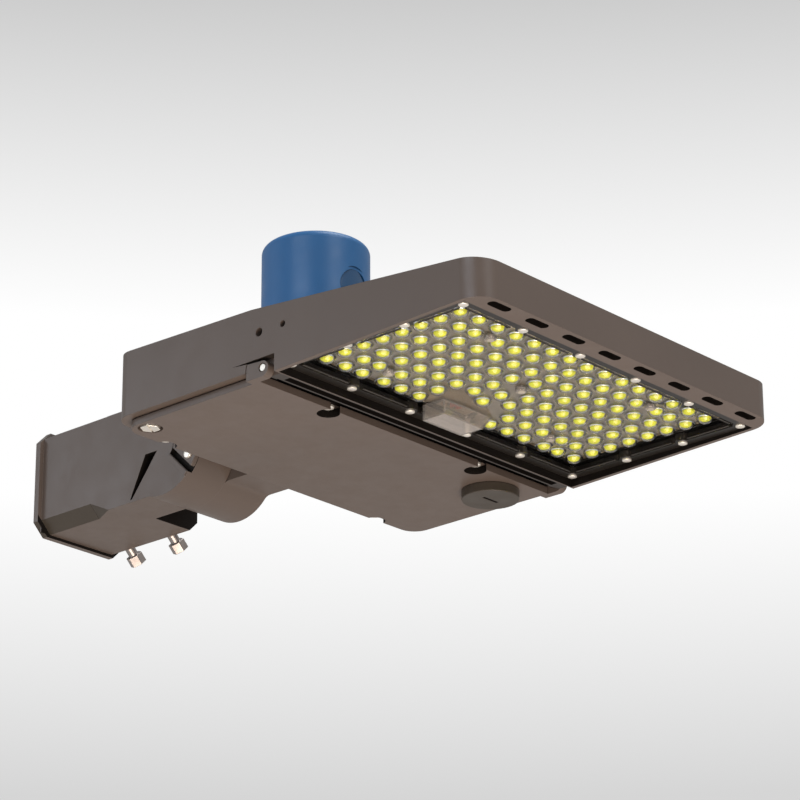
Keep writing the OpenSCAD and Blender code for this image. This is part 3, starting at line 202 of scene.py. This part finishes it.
M = {
    "bronze": plain("bronze_paint", rgb(0.098, 0.0755, 0.0625), 0.38, tint=0.05, grain=1400.0,
                    bump=0.10, depth=0.00004, edge=0.30, rounding=0.0004, patch=9.0),
    # Dark brown for the hinge trough's flat faces: painted shade, its lightened edges painted highlight.
    "dim": plain("beam_painted_shade", rgb(0.030, 0.024, 0.020), 0.38, tint=0.10, grain=1400.0, bump=0.10,
                 edge=0.8, rounding=0.0003),
    # The sensor plug's own colour; on the arm's lower chamfer the same colour is painted shade.
    "plug": plain("plug_paint_and_shade", rgb(0.047, 0.038, 0.028), 0.40, tint=0.06, grain=1400.0, bump=0.10,
                  edge=0.3, rounding=0.0004),
    # Near black where shade falls: bay, trough, vent slots, door notches, plug slot, arm end and groove,
    # lip bars; painted shade, its lightened edges painted highlight.
    "shade": plain("recess_painted_shade", rgb(0.0080, 0.0065, 0.0055), 0.55, tint=0.10, grain=1400.0,
                   bump=0.10, edge=0.3, rounding=0.0003, ior=1.2),
    # The lens frame's dark bronze taken down to near black as painted shade, its edges lightened as painted
    # highlight.
    "bezel": plain("bezel_painted_shade", rgb(0.013, 0.011, 0.009), 0.36, tint=0.08, grain=1400.0, bump=0.1,
                   edge=1.0, rounding=0.0003),
    # Paler bars along the frame's inner edge: painted highlight where the clear plate's edge catches light.
    "bead": plain("bead_painted_highlight", rgb(0.065, 0.060, 0.053), 0.25, tint=0.25, grain=500.0, bump=0.2,
                  patch=60.0),
    "dull": plain("dull_screw", rgb(0.36, 0.33, 0.28), 0.45, tint=0.15),
    # The gear tray near black so the door notches read dark: painted shade.
    "tray": plain("tray_steel_painted_shade", rgb(0.020, 0.017, 0.015), 0.50, grain=400.0),
    "screw": plain("stainless_screw", rgb(0.93, 0.89, 0.81), 0.34, metal=0.75, tint=0.05, grain=900.0,
                   bump=0.1, rounding=0.0002),
    "zinc": plain("zinc_steel", rgb(0.74, 0.71, 0.66), 0.30, metal=1.0, tint=0.08, grain=500.0, bump=0.12,
                  rounding=0.0002),
    "bolt": plain("bolt_steel", rgb(0.38, 0.345, 0.325), 0.36, metal=0.9, tint=0.18, grain=260.0,
                  bump=0.2, rounding=0.0002, patch=120.0),
    # Dark walls of the screws' cross recesses: painted shade.
    "recess": plain("screw_recess_shade", rgb(0.03, 0.026, 0.022), 0.6, tint=0.2),
    "rubber": plain("seal_rubber", rgb(0.03, 0.03, 0.03), 0.7, tint=0.15, grain=400.0, bump=0.25),
    # Grey-brown for the LED board in shade under the lens plate: painted shade.
    "board": plain("board_painted_shade", rgb(0.26, 0.207, 0.140), 0.38, tint=0.10, grain=300.0, bump=0.1,
                   patch=40.0),
    # Yellow phosphor, glowing faintly though the LEDs are off: painted light.
    "led": plain("led_phosphor", rgb(0.93, 0.98, 0.025), 0.55, tint=0.05, grain=1500.0, bump=0.2,
                 patch=300.0, glow=0.05),
    "wire": plain("wire_red", rgb(0.45, 0.04, 0.03), 0.5, tint=0.1),
    "grey": plain("gear_case", rgb(0.55, 0.55, 0.54), 0.38, metal=0.8, tint=0.06, grain=300.0),
    "black": plain("black_plastic", rgb(0.035, 0.035, 0.037), 0.45, grain=700.0, bump=0.2,
                   rounding=0.0003),
    "ivory": plain("terminal_ivory", rgb(0.72, 0.66, 0.50), 0.45, tint=0.06),
    "green": plain("ground_green", rgb(0.05, 0.28, 0.08), 0.35, tint=0.1),
    "blue": plain("cell_blue", rgb(0.018, 0.133, 0.340), 0.40, tint=0.07, grain=900.0, bump=0.12,
                  rounding=0.0006, patch=18.0),
    "circuit": plain("cell_board", rgb(0.03, 0.2, 0.1), 0.4, tint=0.15),
    "brass": plain("contact_brass", rgb(0.70, 0.52, 0.22), 0.3, metal=1.0, tint=0.08),
    "lens": clear("clear_lens", rgb(0.97, 0.97, 0.95)),
    "cover": clear("clear_cover", rgb(0.92, 0.87, 0.82), 0.07, 0.1, through=0.82),
    "window": plain("cell_window", rgb(0.022, 0.085, 0.19), 0.22, tint=0.05, grain=300.0),
}

NODE_LOOKS = {
    "housing": "bronze", "knuckle": "bronze", "knuckle_bolts": "zinc", "lens_frame": "bezel",
    "lens_plate": "lens", "lens_gasket": "rubber", "lens_frame_screws": "screw",
    "inner_lens_screws": "dull", "led_board": "board", "led_chips": "led", "wire_cover": "cover",
    "wire_cover_screw": "screw", "led_leads": "wire", "lead_grommet": "rubber", "gear_tray": "tray",
    "tray_screws": "screw", "led_driver": "grey", "driver_screws": "screw", "surge_protector": "black",
    "terminal_block": "ivory", "ground_screw": "green", "hinge_pins": "screw", "driver_door": "bronze",
    "captive_screw": "zinc", "captive_clip": "zinc", "sensor_plug": "plug", "plug_gasket": "rubber",
    "receptacle": "black", "receptacle_gasket": "rubber", "receptacle_screws": "screw",
    "photocell_cover": "blue", "photocell_base": "black", "photocell_board": "circuit",
    "photocell_window": "window", "photocell_contacts": "brass", "slip_fitter_arm": "bronze",
    "angle_lock_bracket": "bronze", "bracket_screws": "screw", "pivot_bolt": "zinc", "pivot_washer": "zinc",
    "friction_ring": "rubber", "tenon_bolt_front": "bolt", "tenon_bolt_rear": "bolt",
}
for name, look in NODE_LOOKS.items():
    nodes[name].data.materials.clear()
    nodes[name].data.materials.append(M[look])


# Mesh helpers

PIECE_SMOOTH = 30.0
ROUNDED_SMOOTH = 40.0
COPIES_SMOOTH = 35.0
MERGE = 0.000002
ISLAND_MERGE = 0.00001
FLAT_ANGLE = 0.5
BEVEL_ANGLE = 28.0
BEVEL_SEGMENTS = 2
NORMAL_WEIGHT = 60
LATHE_STEPS = 40


def smooth_by_angle(mesh, degrees):
    for p in mesh.polygons:
        p.use_smooth = True
    mesh.set_sharp_from_angle(angle=math.radians(degrees))


def finish_piece(name, mesh, looks, body, slot, *replaced):
    """Puts a mesh into the scene as a piece that rides on a body."""
    mesh.name = name
    looked = [p.material_index for p in mesh.polygons]
    mesh.materials.clear()
    for look in looks:
        mesh.materials.append(M[look])
    mesh.polygons.foreach_set("material_index", looked)
    obj = bpy.data.objects.new(name, mesh)
    scene.collection.objects.link(obj)
    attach(obj, body)
    if replaced:
        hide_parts(*replaced)


def with_modifiers(mesh, *setups):
    """The mesh after modifiers, each given as (kind, properties)."""
    obj = bpy.data.objects.new("work", mesh)
    scene.collection.objects.link(obj)
    for kind, props in setups:
        mod = obj.modifiers.new(kind.lower(), kind)
        for k, v in props.items():
            setattr(mod, k, v)
    dg = bpy.context.evaluated_depsgraph_get()
    done = bpy.data.meshes.new_from_object(obj.evaluated_get(dg))
    bpy.data.objects.remove(obj)
    return done


def rounded_copy(node, body, looks, width, paint=None):
    """The CAD piece with its sharp edges rounded, standing for it; paint picks each face's look."""
    mesh = nodes[node].data.copy()
    bm = bmesh.new()
    bm.from_mesh(mesh)
    bmesh.ops.remove_doubles(bm, verts=bm.verts, dist=MERGE)
    bmesh.ops.dissolve_limit(bm, angle_limit=math.radians(FLAT_ANGLE), verts=bm.verts, edges=bm.edges)
    for f in bm.faces:
        f.material_index = paint(f.calc_center_bounds() - HEAD, f.normal) if paint else 0
    bm.to_mesh(mesh)
    bm.free()
    smooth_by_angle(mesh, PIECE_SMOOTH)
    bevel = {"width": width, "segments": BEVEL_SEGMENTS, "limit_method": "ANGLE",
             "angle_limit": math.radians(BEVEL_ANGLE), "use_clamp_overlap": True}
    done = with_modifiers(mesh, ("BEVEL", bevel))
    smooth_by_angle(done, ROUNDED_SMOOTH)
    done = with_modifiers(done, ("WEIGHTED_NORMAL", {"keep_sharp": True, "weight": NORMAL_WEIGHT}))
    finish_piece(node + "_look", done, looks, body, None, node)


def islands(node):
    """Lowest and highest corners of each separate solid in a CAD node."""
    bm = bmesh.new()
    bm.from_mesh(nodes[node].data)
    bmesh.ops.remove_doubles(bm, verts=bm.verts, dist=ISLAND_MERGE)
    seen, found = set(), []
    for start in bm.verts:
        if start in seen:
            continue
        seen.add(start)
        stack, group = [start], []
        while stack:
            v = stack.pop()
            group.append(v.co.copy())
            for e in v.link_edges:
                w = e.other_vert(v)
                if w not in seen:
                    seen.add(w)
                    stack.append(w)
        found.append((Vector([min(c[i] for c in group) for i in range(3)]),
                      Vector([max(c[i] for c in group) for i in range(3)])))
    bm.free()
    return found


def lathe(profile, steps=LATHE_STEPS):
    """A closed mesh of revolution about z from (radius, height) points on the axis at both ends."""
    bm = bmesh.new()
    rings = []
    for r, z in profile:
        if r == 0:
            rings.append([bm.verts.new((0, 0, z))])
        else:
            rings.append([bm.verts.new((r * math.cos(2 * math.pi * k / steps),
                                        r * math.sin(2 * math.pi * k / steps), z)) for k in range(steps)])
    for a, b in zip(rings, rings[1:]):
        for k in range(steps):
            n = (k + 1) % steps
            if len(a) == 1:
                bm.faces.new((a[0], b[n], b[k]))
            elif len(b) == 1:
                bm.faces.new((a[k], a[n], b[0]))
            else:
                bm.faces.new((a[k], a[n], b[n], b[k]))
    bmesh.ops.recalc_face_normals(bm, faces=bm.faces)
    mesh = bpy.data.meshes.new("lathe")
    bm.to_mesh(mesh)
    bm.free()
    return mesh


# Half lengths of a cross recess below, at and above the screw's face, as shares of its reach
CROSS_TAPER = (1.15, 1.0, 0.35)


def cross_cutter(reach, width, depth):
    """Two crossed wedges, for the recess of a cross-head screw facing -z."""
    bm = bmesh.new()
    for turn in (0, 1):
        rows = []
        for z, taper in zip((-depth, 0.0, depth), CROSS_TAPER):
            long, wide = reach * taper, width / 2
            rows.append([Vector((x, y, z)) for x, y in
                         ((-long, -wide), (long, -wide), (long, wide), (-long, wide))])
        verts = [[bm.verts.new(Vector((-v.y, v.x, v.z)) if turn else v) for v in row] for row in rows]
        bm.faces.new(verts[0])
        bm.faces.new(verts[-1])
        for a, b in zip(verts, verts[1:]):
            for k in range(4):
                n = (k + 1) % 4
                bm.faces.new((a[k], a[n], b[n], b[k]))
    bmesh.ops.recalc_face_normals(bm, faces=bm.faces)
    mesh = bpy.data.meshes.new("cross")
    bm.to_mesh(mesh)
    bm.free()
    return mesh


# Screw heads and their cross recess, as shares of the head's radius
CROWN_RISE = 0.20
CROWN_STEPS = 8
ROUND_POWER = 0.8
CROSS_REACH = 0.62
CROSS_WIDTH = 0.26
CROSS_DEPTH = 0.50
RECESS_R = 0.66
THREAD_STEP = 0.0008
THREAD_ROOT = 0.82
THREAD_MIN = 3
# A face whose normal leans less than this from the horizontal counts as a wall
WALL = 0.9


def less(mesh, cutter):
    """The mesh with another object cut out of it, which is removed."""
    cut = {"object": cutter, "operation": "DIFFERENCE", "solver": "EXACT"}
    done = with_modifiers(mesh, ("BOOLEAN", cut))
    bpy.data.objects.remove(cutter)
    return done


def screw_mesh(head_r, length, shank_r, head_t):
    """A pan-head screw, its face at z = 0 and its shank along +z, with a cross recess."""
    profile = [(0.0, 0.0)]
    for k in range(1, CROWN_STEPS + 1):
        a = k / CROWN_STEPS * math.pi / 2
        profile.append((head_r * math.sin(a) ** ROUND_POWER, head_r * CROWN_RISE * (1 - math.cos(a))))
    profile += [(head_r, head_t), (shank_r, head_t)]
    turns = max(THREAD_MIN, int((length - head_t) / THREAD_STEP))
    for k in range(turns):
        z = head_t + (length - head_t) * (k + 0.5) / turns
        profile.append((shank_r * (THREAD_ROOT if k % 2 else 1.0), z))
    profile.append((0.0, length))
    cross = cross_cutter(head_r * CROSS_REACH, head_r * CROSS_WIDTH, head_r * CROSS_DEPTH)
    cutter = bpy.data.objects.new("cutter", cross)
    scene.collection.objects.link(cutter)
    done = less(lathe(profile), cutter)
    smooth_by_angle(done, COPIES_SMOOTH)
    # Walls of the cross recess take the dark recess look: painted shade.
    for p in done.polygons:
        inside = p.center.xy.length < head_r * RECESS_R and p.center.z < head_t
        p.material_index = 1 if inside and abs(p.normal.z) < WALL else 0
    return done


def join_copies(name, mesh, places):
    """One mesh from copies of another at the given matrices."""
    bm = bmesh.new()
    for place in places:
        part = mesh.copy()
        part.transform(place)
        bm.from_mesh(part)
        bpy.data.meshes.remove(part)
    done = bpy.data.meshes.new(name)
    bm.to_mesh(done)
    bm.free()
    smooth_by_angle(done, COPIES_SMOOTH)
    return done


# Turn of the first screw's recess and from one screw to the next, radians
SPIN_FIRST = 0.7
SPIN_STEP = 1.9


def aim(direction):
    """The rotation that takes +z to a direction."""
    return direction.to_track_quat("Z", "Y").to_matrix().to_4x4()


def screws(node, body, shank_r, head_t, axis, look):
    """Replaces the screws of a node, whose shanks point along + the axis."""
    along = Vector([float(i == axis) for i in range(3)])
    places = []
    for k, (lo, hi) in enumerate(islands(node)):
        face = (lo + hi) / 2
        face[axis] = lo[axis]
        size = hi - lo
        spin = Matrix.Rotation(SPIN_FIRST + SPIN_STEP * k, 4, "Z")
        places.append(Matrix.Translation(face) @ aim(along) @ spin)
    wide = max(size[i] for i in range(3) if i != axis)
    mesh = screw_mesh(wide / 2, size[axis], shank_r, head_t)
    finish_piece(node + "_look", join_copies(node, mesh, places), (look, "recess"), body, None, node)


# Paints: each gives a face the number of its look, its own colour or a painted shade, from its centre in
# the head's frame and its normal

BAY_X = 0.1620
BAY_Y = (0.0170, 0.1900)
BAY_TOP = 0.0105
BAY_FLOOR = 0.001
TROUGH_X = 0.1580
TROUGH_Y = (0.1890, 0.2180)
TROUGH_TOP = 0.0090
SLOT_PITCH = 0.0394
SLOT_END = 0.1487
SLOT_Y = 0.0070
SLOT_REACH = (0.0108, 0.0039)
LEVEL = 0.99


def housing_painted_shade(at, normal):
    """Painted shade in the LED bay, the hinge trough and the vent slots; the trough's flat faces get the
    browner dim shade.
    """
    wall = abs(normal.z) < WALL
    in_bay = abs(at.x) < BAY_X and BAY_Y[0] < at.y < BAY_Y[1] and at.z < BAY_TOP
    in_bay = in_bay and (wall or at.z > BAY_FLOOR)
    in_trough = abs(at.x) < TROUGH_X and TROUGH_Y[0] < at.y < TROUGH_Y[1] and at.z < TROUGH_TOP
    across = (at.x / SLOT_PITCH % 1.0 - 0.5) * SLOT_PITCH
    in_slot = abs(at.x) < SLOT_END and abs(across) < SLOT_REACH[0]
    in_slot = in_slot and abs(at.y - SLOT_Y) < SLOT_REACH[1] and wall
    if in_trough and abs(normal.z) > LEVEL:
        return 2
    return 1 if in_bay or in_trough or in_slot else 0


TRAY_HEADS = [(lo + hi) / 2 - HEAD for lo, hi in islands("tray_screws")]
NOTCH_R = 0.0110


def door_painted_shade(at, normal):
    """Painted shade on the walls of the notches round the tray screws."""
    near = any((at - head).xy.length < NOTCH_R for head in TRAY_HEADS)
    return 1 if near and abs(normal.z) < WALL else 0


PLUG_LOW, PLUG_HIGH = islands("sensor_plug")[0]
PLUG_SLOT = (0.0085, 0.0012)
PLUG_SLOT_Z = (0.0004, 0.0020)


def plug_paint_and_shade(at, normal):
    """Painted shade in the slot of the plug's face."""
    off = at + HEAD - (PLUG_LOW + PLUG_HIGH) / 2
    deep = PLUG_SLOT_Z[0] < at.z + HEAD.z - PLUG_LOW.z < PLUG_SLOT_Z[1]
    return 1 if deep and abs(off.x) < PLUG_SLOT[0] and abs(off.y) < PLUG_SLOT[1] else 0


ARM_FRONT_Y = 0.455
ARM_AXIS_Z = 0.036
GROOVE_X = (-0.0424, -0.0350)
END_LEAN = 0.95
GROOVE_LEAN = 0.3
CHAMFER_LEAN = 0.4


def arm_painted_shade(at, normal):
    """Painted shade on the arm's front end below its axis and in its near groove, and a milder painted
    shade on its lower chamfer, the side turned from the light.
    """
    on_body = at.y > ARM_FRONT_Y
    on_end = normal.y < -END_LEAN and on_body and at.z < ARM_AXIS_Z
    in_groove = GROOVE_X[0] < at.x < GROOVE_X[1] and (abs(normal.x) < GROOVE_LEAN or normal.x < -LEVEL)
    if normal.x < -CHAMFER_LEAN and normal.z < -CHAMFER_LEAN and on_body:
        return 2
    return 1 if on_end or in_groove else 0


# CAD pieces with rounded edges: node, body, looks, width of the rounding, paint that picks the faces of
# painted shade
ROUNDED = (
    ("housing", "head", ("bronze", "shade", "dim"), 0.0009, housing_painted_shade),
    ("knuckle", "head", ("bronze",), 0.0010, None),
    ("driver_door", "door", ("bronze", "shade"), 0.0005, door_painted_shade),
    ("sensor_plug", "sensor_plug", ("plug", "shade"), 0.0007, plug_paint_and_shade),
    ("slip_fitter_arm", "arm", ("bronze", "shade", "plug"), 0.0010, arm_painted_shade),
    ("angle_lock_bracket", "arm", ("bronze",), 0.0006, None),
    ("lens_frame", "head", ("bezel",), 0.0003, None),
    ("captive_screw", "captive_screw", ("screw",), 0.0004, None),
    ("tenon_bolt_front", "tenon_bolt_front", ("bolt",), 0.0005, None),
    ("tenon_bolt_rear", "tenon_bolt_rear", ("bolt",), 0.0005, None),
    ("wire_cover", "head", ("cover",), 0.0003, None),
    ("receptacle", "head", ("black",), 0.0005, None),
)

# Screws: node, body, radius of the shank, thickness of the head, axis, look
SCREWS = (
    ("lens_frame_screws", "head", 0.0017, 0.0017, 2, "screw"),
    ("inner_lens_screws", "head", 0.0017, 0.0010, 2, "dull"),
    ("wire_cover_screw", "head", 0.0017, 0.0010, 2, "screw"),
    ("tray_screws", "head", 0.0020, 0.0024, 2, "screw"),
    ("bracket_screws", "arm", 0.0017, 0.0020, 0, "screw"),
)

for name in NODE_LOOKS:
    smooth_by_angle(nodes[name].data, PIECE_SMOOTH)
for row in ROUNDED:
    rounded_copy(*row)
for row in SCREWS:
    screws(*row)


# Lenses: a flat clear plate with thick hollow domes, each with a yellow source in its hollow, a phosphor
# dome that glows faintly as painted light

PLATE_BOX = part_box("lens_frame")
PLATE_Z = PLATE_BOX[1][2]
LENS_R = 0.0070
LENS_H = 0.0046
HOLLOW_R = 0.0050
HOLLOW_H = 0.0038
SOURCE_R = 0.0048
SOURCE_H = 0.0021
PLATE_GAP = 0.00002
BOSS_R = 0.0045
BOSS_H = 0.0028
BOSS_HOLE = 0.45 * BOSS_R
BOSS_EDGE = 0.12 * BOSS_R
LENS_STEPS = 28
CAP_STEPS = 7
SOURCE_STEPS = 8
CUT_MARGIN = 0.02


def cap_profile(radius, height):
    """Half outline of a spherical cap that hangs below z = 0, from its rim to its pole."""
    ball = (radius ** 2 + height ** 2) / (2 * height)
    edge = math.asin(radius / ball)
    outline = []
    for k in range(CAP_STEPS + 1):
        a = edge * (1 - k / CAP_STEPS)
        outline.append((ball * math.sin(a) if k < CAP_STEPS else 0.0, ball - height - ball * math.cos(a)))
    return outline


def ring_lathe(profile, steps=LENS_STEPS):
    """A closed ring about z from a loop of (radius, depth) points."""
    bm = bmesh.new()
    turns = [2 * math.pi * k / steps for k in range(steps)]
    rings = [[bm.verts.new((r * math.cos(a), r * math.sin(a), -d)) for a in turns] for r, d in profile]
    for a, b in zip(rings, rings[1:] + rings[:1]):
        for k in range(steps):
            n = (k + 1) % steps
            bm.faces.new((a[k], a[n], b[n], b[k]))
    bmesh.ops.recalc_face_normals(bm, faces=bm.faces)
    mesh = bpy.data.meshes.new("ring")
    bm.to_mesh(mesh)
    bm.free()
    return mesh


def lens_shell():
    outer = cap_profile(LENS_R, LENS_H)
    inner = cap_profile(HOLLOW_R, HOLLOW_H)
    return lathe(outer[::-1] + inner, LENS_STEPS)


def source_dome():
    profile = [(0.0, 0.0)]
    for k in range(SOURCE_STEPS + 1):
        a = k / SOURCE_STEPS * math.pi / 2
        reach = SOURCE_R * math.cos(a) ** ROUND_POWER if k < SOURCE_STEPS else 0.0
        profile.append((reach, -SOURCE_H * math.sin(a)))
    return lathe(profile, LENS_STEPS)


def flat_plate():
    """The CAD lens plate with everything below its flat face taken off."""
    lo, hi = PLATE_BOX
    bpy.ops.mesh.primitive_cube_add(size=1.0)
    cutter = bpy.context.object
    cutter.scale = (hi[0] - lo[0] + CUT_MARGIN, hi[1] - lo[1] + CUT_MARGIN, CUT_MARGIN)
    cutter.location = ((lo[0] + hi[0]) / 2, (lo[1] + hi[1]) / 2, PLATE_Z - CUT_MARGIN / 2)
    bpy.context.view_layer.update()
    return less(nodes["lens_plate"].data.copy(), cutter)


def lenses():
    centres = [(lo + hi) / 2 for lo, hi in islands("led_chips")]
    places = [Matrix.Translation((c.x, c.y, PLATE_Z - PLATE_GAP)) for c in centres]
    bosses = [Matrix.Translation(((lo.x + hi.x) / 2, (lo.y + hi.y) / 2, PLATE_Z))
              for lo, hi in islands("inner_lens_screws")]
    boss = ring_lathe([(BOSS_HOLE, 0.0), (BOSS_R, 0.0), (BOSS_R, BOSS_H - BOSS_EDGE),
                       (BOSS_R - BOSS_EDGE, BOSS_H), (BOSS_HOLE, BOSS_H)])
    for p in boss.polygons:
        p.material_index = 1
    shells = join_copies("shells", lens_shell(), places)
    bm = bmesh.new()
    for mesh in (flat_plate(), shells, join_copies("bosses", boss, bosses)):
        bm.from_mesh(mesh)
    plate = bpy.data.meshes.new("plate")
    bm.to_mesh(plate)
    bm.free()
    smooth_by_angle(plate, COPIES_SMOOTH)
    finish_piece("lens_plate_look", plate, ("lens", "cover"), "head", None, "lens_plate")
    sources = join_copies("sources", source_dome(), places)
    finish_piece("led_phosphor_domes", sources, ("led",), "head", "led_yellow")


BEAD_R = 0.0004
BEAD_INSET = 0.0040
LIP_R = 0.0007
LIP_INSET = BEAD_INSET + BEAD_R + LIP_R
# How far a bead ends from the screws' centres
BEAD_END = 0.0075
BEAD_STEPS = 10
# Where a bead's end starts to round, as shares of its radius
BEAD_NOSE = (0.7, 0.3)


def bar(a, b, radius):
    """A round bar with blunt ends from one point to another."""
    span = (b - a).length
    nose_r, nose_l = BEAD_NOSE[0] * radius, BEAD_NOSE[1] * radius
    mesh = lathe([(0.0, 0.0), (nose_r, nose_l), (radius, radius), (radius, span - radius),
                  (nose_r, span - nose_l), (0.0, span)], BEAD_STEPS)
    mesh.transform(Matrix.Translation(a) @ aim(b - a))
    return mesh


def edge_beads():
    """Pale glossy bead along the lens frame's inner edge, a painted highlight, and a near-black lip beside
    it, a painted shadow, between the screws.
    """
    centres = [(lo + hi) / 2 for lo, hi in islands("lens_frame_screws")]
    xs = sorted({round(c.x, 4) for c in centres})
    ys = sorted({round(c.y, 4) for c in centres})
    bm = bmesh.new()
    # Look 0, the bead, is painted highlight; look 1, the lip, is painted shadow.
    for look, (radius, inset) in enumerate(((BEAD_R, BEAD_INSET), (LIP_R, LIP_INSET))):
        z = PLATE_BOX[0][2] + radius
        runs = []
        for end, way in ((0, 1), (-1, -1)):
            x, y = xs[end] + way * inset, ys[end] + way * inset
            runs += [((x, a + BEAD_END, z), (x, b - BEAD_END, z)) for a, b in zip(ys, ys[1:])]
            runs += [((a + BEAD_END, y, z), (b - BEAD_END, y, z)) for a, b in zip(xs, xs[1:])]
        for a, b in runs:
            piece = bar(Vector(a), Vector(b), radius)
            for p in piece.polygons:
                p.material_index = look
            bm.from_mesh(piece)
    mesh = bpy.data.meshes.new("beads")
    bm.to_mesh(mesh)
    bm.free()
    smooth_by_angle(mesh, ROUNDED_SMOOTH)
    finish_piece("lens_edge_beads", mesh, ("bead", "shade"), "head", "clear_lens")


lenses()
edge_beads()


# Camera, light and background

# The photograph's camera: place, axes, and focal length in pixels of an 800 pixel picture
CAM_POS = (-1.6988, -1.8745, -0.9016)
CAM_RIGHT = (0.66909, -0.74317, -0.00460)
CAM_DOWN = (0.26815, 0.24718, -0.93113)
CAM_FORWARD = (0.69312, 0.62177, 0.36466)
FOCAL_PX = 3304.0
PICTURE_PX = 800.0
SENSOR = 36.0
CLIP = (0.05, 50.0)


def add_camera():
    data = bpy.data.cameras.new("cam")
    data.lens = SENSOR * FOCAL_PX / PICTURE_PX
    data.sensor_width = SENSOR
    data.clip_start, data.clip_end = CLIP
    cam = bpy.data.objects.new("cam", data)
    m = Matrix.Identity(4)
    for i in range(3):
        m[i][0] = CAM_RIGHT[i]
        m[i][1] = -CAM_DOWN[i]
        m[i][2] = -CAM_FORWARD[i]
        m[i][3] = CAM_POS[i]
    cam.matrix_world = m
    scene.collection.objects.link(cam)
    scene.camera = cam


TARGET = Vector((0.0, -0.32, -0.02))
# Lamps: azimuth from the front and elevation in degrees, distance, width, height, watts, colour
LIGHTS = {
    "key": (-78.0, 22.0, 2.6, 1.4, 0.8, 13.0, (0.80, 0.88, 1.0)),
    "front": (-5.0, 35.0, 2.6, 0.9, 0.7, 11.0, (0.93, 0.96, 1.0)),
    "front_low": (-30.0, -65.0, 1.6, 1.3, 1.3, 38.0, (1.0, 0.83, 0.70)),
    "side": (-135.0, 8.0, 2.4, 1.2, 1.0, 8.0, (0.80, 0.89, 1.0)),
    "top": (30.0, 70.0, 2.4, 1.4, 1.4, 30.0, (1.0, 1.0, 1.0)),
}


def add_light(name, azimuth, elevation, distance, width, height, power, colour):
    """An area lamp that faces the target."""
    a, e = math.radians(azimuth), math.radians(elevation)
    direction = Vector((math.sin(a) * math.cos(e), -math.cos(a) * math.cos(e), math.sin(e)))
    data = bpy.data.lights.new(name, "AREA")
    data.shape = "RECTANGLE"
    data.size, data.size_y = width, height
    data.energy = power
    data.color = colour
    obj = bpy.data.objects.new(name, data)
    obj.location = TARGET + direction * distance
    obj.rotation_euler = (-direction).to_track_quat("-Z", "Y").to_euler()
    scene.collection.objects.link(obj)
    obj.visible_camera = False


# Light from below and from above, and the backdrop's greys from its lower to its upper edge
SKY = ((0.0, (0.64, 0.57, 0.52, 1)), (1.0, (0.60, 0.61, 0.63, 1)))
SKY_STRENGTH = 0.75
BACKDROP = ((0.0, 0.668), (0.385, 1.0), (0.61, 1.0), (1.0, 0.605))
BACKDROP_SPAN = (14.5, 28.3)


def ramp(tree, stops):
    """A colour ramp from (position, colour) stops."""
    node = tree.nodes.new("ShaderNodeValToRGB")
    elements = node.color_ramp.elements
    for pos, _ in stops[1:-1]:
        elements.new(pos)
    for element, (pos, colour) in zip(elements, stops):
        element.position = pos
        element.color = colour
    return node


def add_world():
    """Plain studio light, with a pale graded backdrop for the camera alone."""
    world = bpy.data.worlds.new("studio")
    scene.world = world
    world.use_nodes = True
    t = world.node_tree
    t.nodes.clear()
    out = t.nodes.new("ShaderNodeOutputWorld")
    coord = t.nodes.new("ShaderNodeTexCoord")
    split = t.nodes.new("ShaderNodeSeparateXYZ")
    t.links.new(coord.outputs["Generated"], split.inputs[0])
    sky = ramp(t, SKY)
    shift = t.nodes.new("ShaderNodeMapRange")
    shift.inputs["From Min"].default_value = -1.0
    t.links.new(split.outputs["Z"], shift.inputs["Value"])
    t.links.new(shift.outputs["Result"], sky.inputs["Fac"])
    light = t.nodes.new("ShaderNodeBackground")
    light.inputs["Strength"].default_value = SKY_STRENGTH
    t.links.new(sky.outputs["Color"], light.inputs["Color"])
    back = ramp(t, [(pos, (v, v, v, 1)) for pos, v in BACKDROP])
    span = t.nodes.new("ShaderNodeMapRange")
    for end, angle in zip(("From Min", "From Max"), BACKDROP_SPAN):
        span.inputs[end].default_value = math.sin(math.radians(angle))
    t.links.new(split.outputs["Z"], span.inputs["Value"])
    t.links.new(span.outputs["Result"], back.inputs["Fac"])
    seen = t.nodes.new("ShaderNodeBackground")
    t.links.new(back.outputs["Color"], seen.inputs["Color"])
    path = t.nodes.new("ShaderNodeLightPath")
    pick = t.nodes.new("ShaderNodeMath")
    pick.operation = "MAXIMUM"
    t.links.new(path.outputs["Is Camera Ray"], pick.inputs[0])
    t.links.new(path.outputs["Is Transmission Ray"], pick.inputs[1])
    mix = t.nodes.new("ShaderNodeMixShader")
    t.links.new(pick.outputs[0], mix.inputs[0])
    t.links.new(light.outputs[0], mix.inputs[1])
    t.links.new(seen.outputs[0], mix.inputs[2])
    t.links.new(mix.outputs[0], out.inputs["Surface"])


FLOOR_SIZE = 12.0
FLOOR_Z = -1.6


def add_floor():
    bpy.ops.mesh.primitive_plane_add(size=FLOOR_SIZE, location=(0.0, 0.0, FLOOR_Z))
    floor = bpy.context.object
    floor.name = "floor"
    floor.data.materials.append(plain("floor_pale", rgb(0.72, 0.72, 0.71), 0.6, tint=0.02, grain=40.0))


add_camera()
for name, setup in LIGHTS.items():
    add_light(name, *setup)
add_world()
add_floor()
scene.view_settings.view_transform = "Standard"
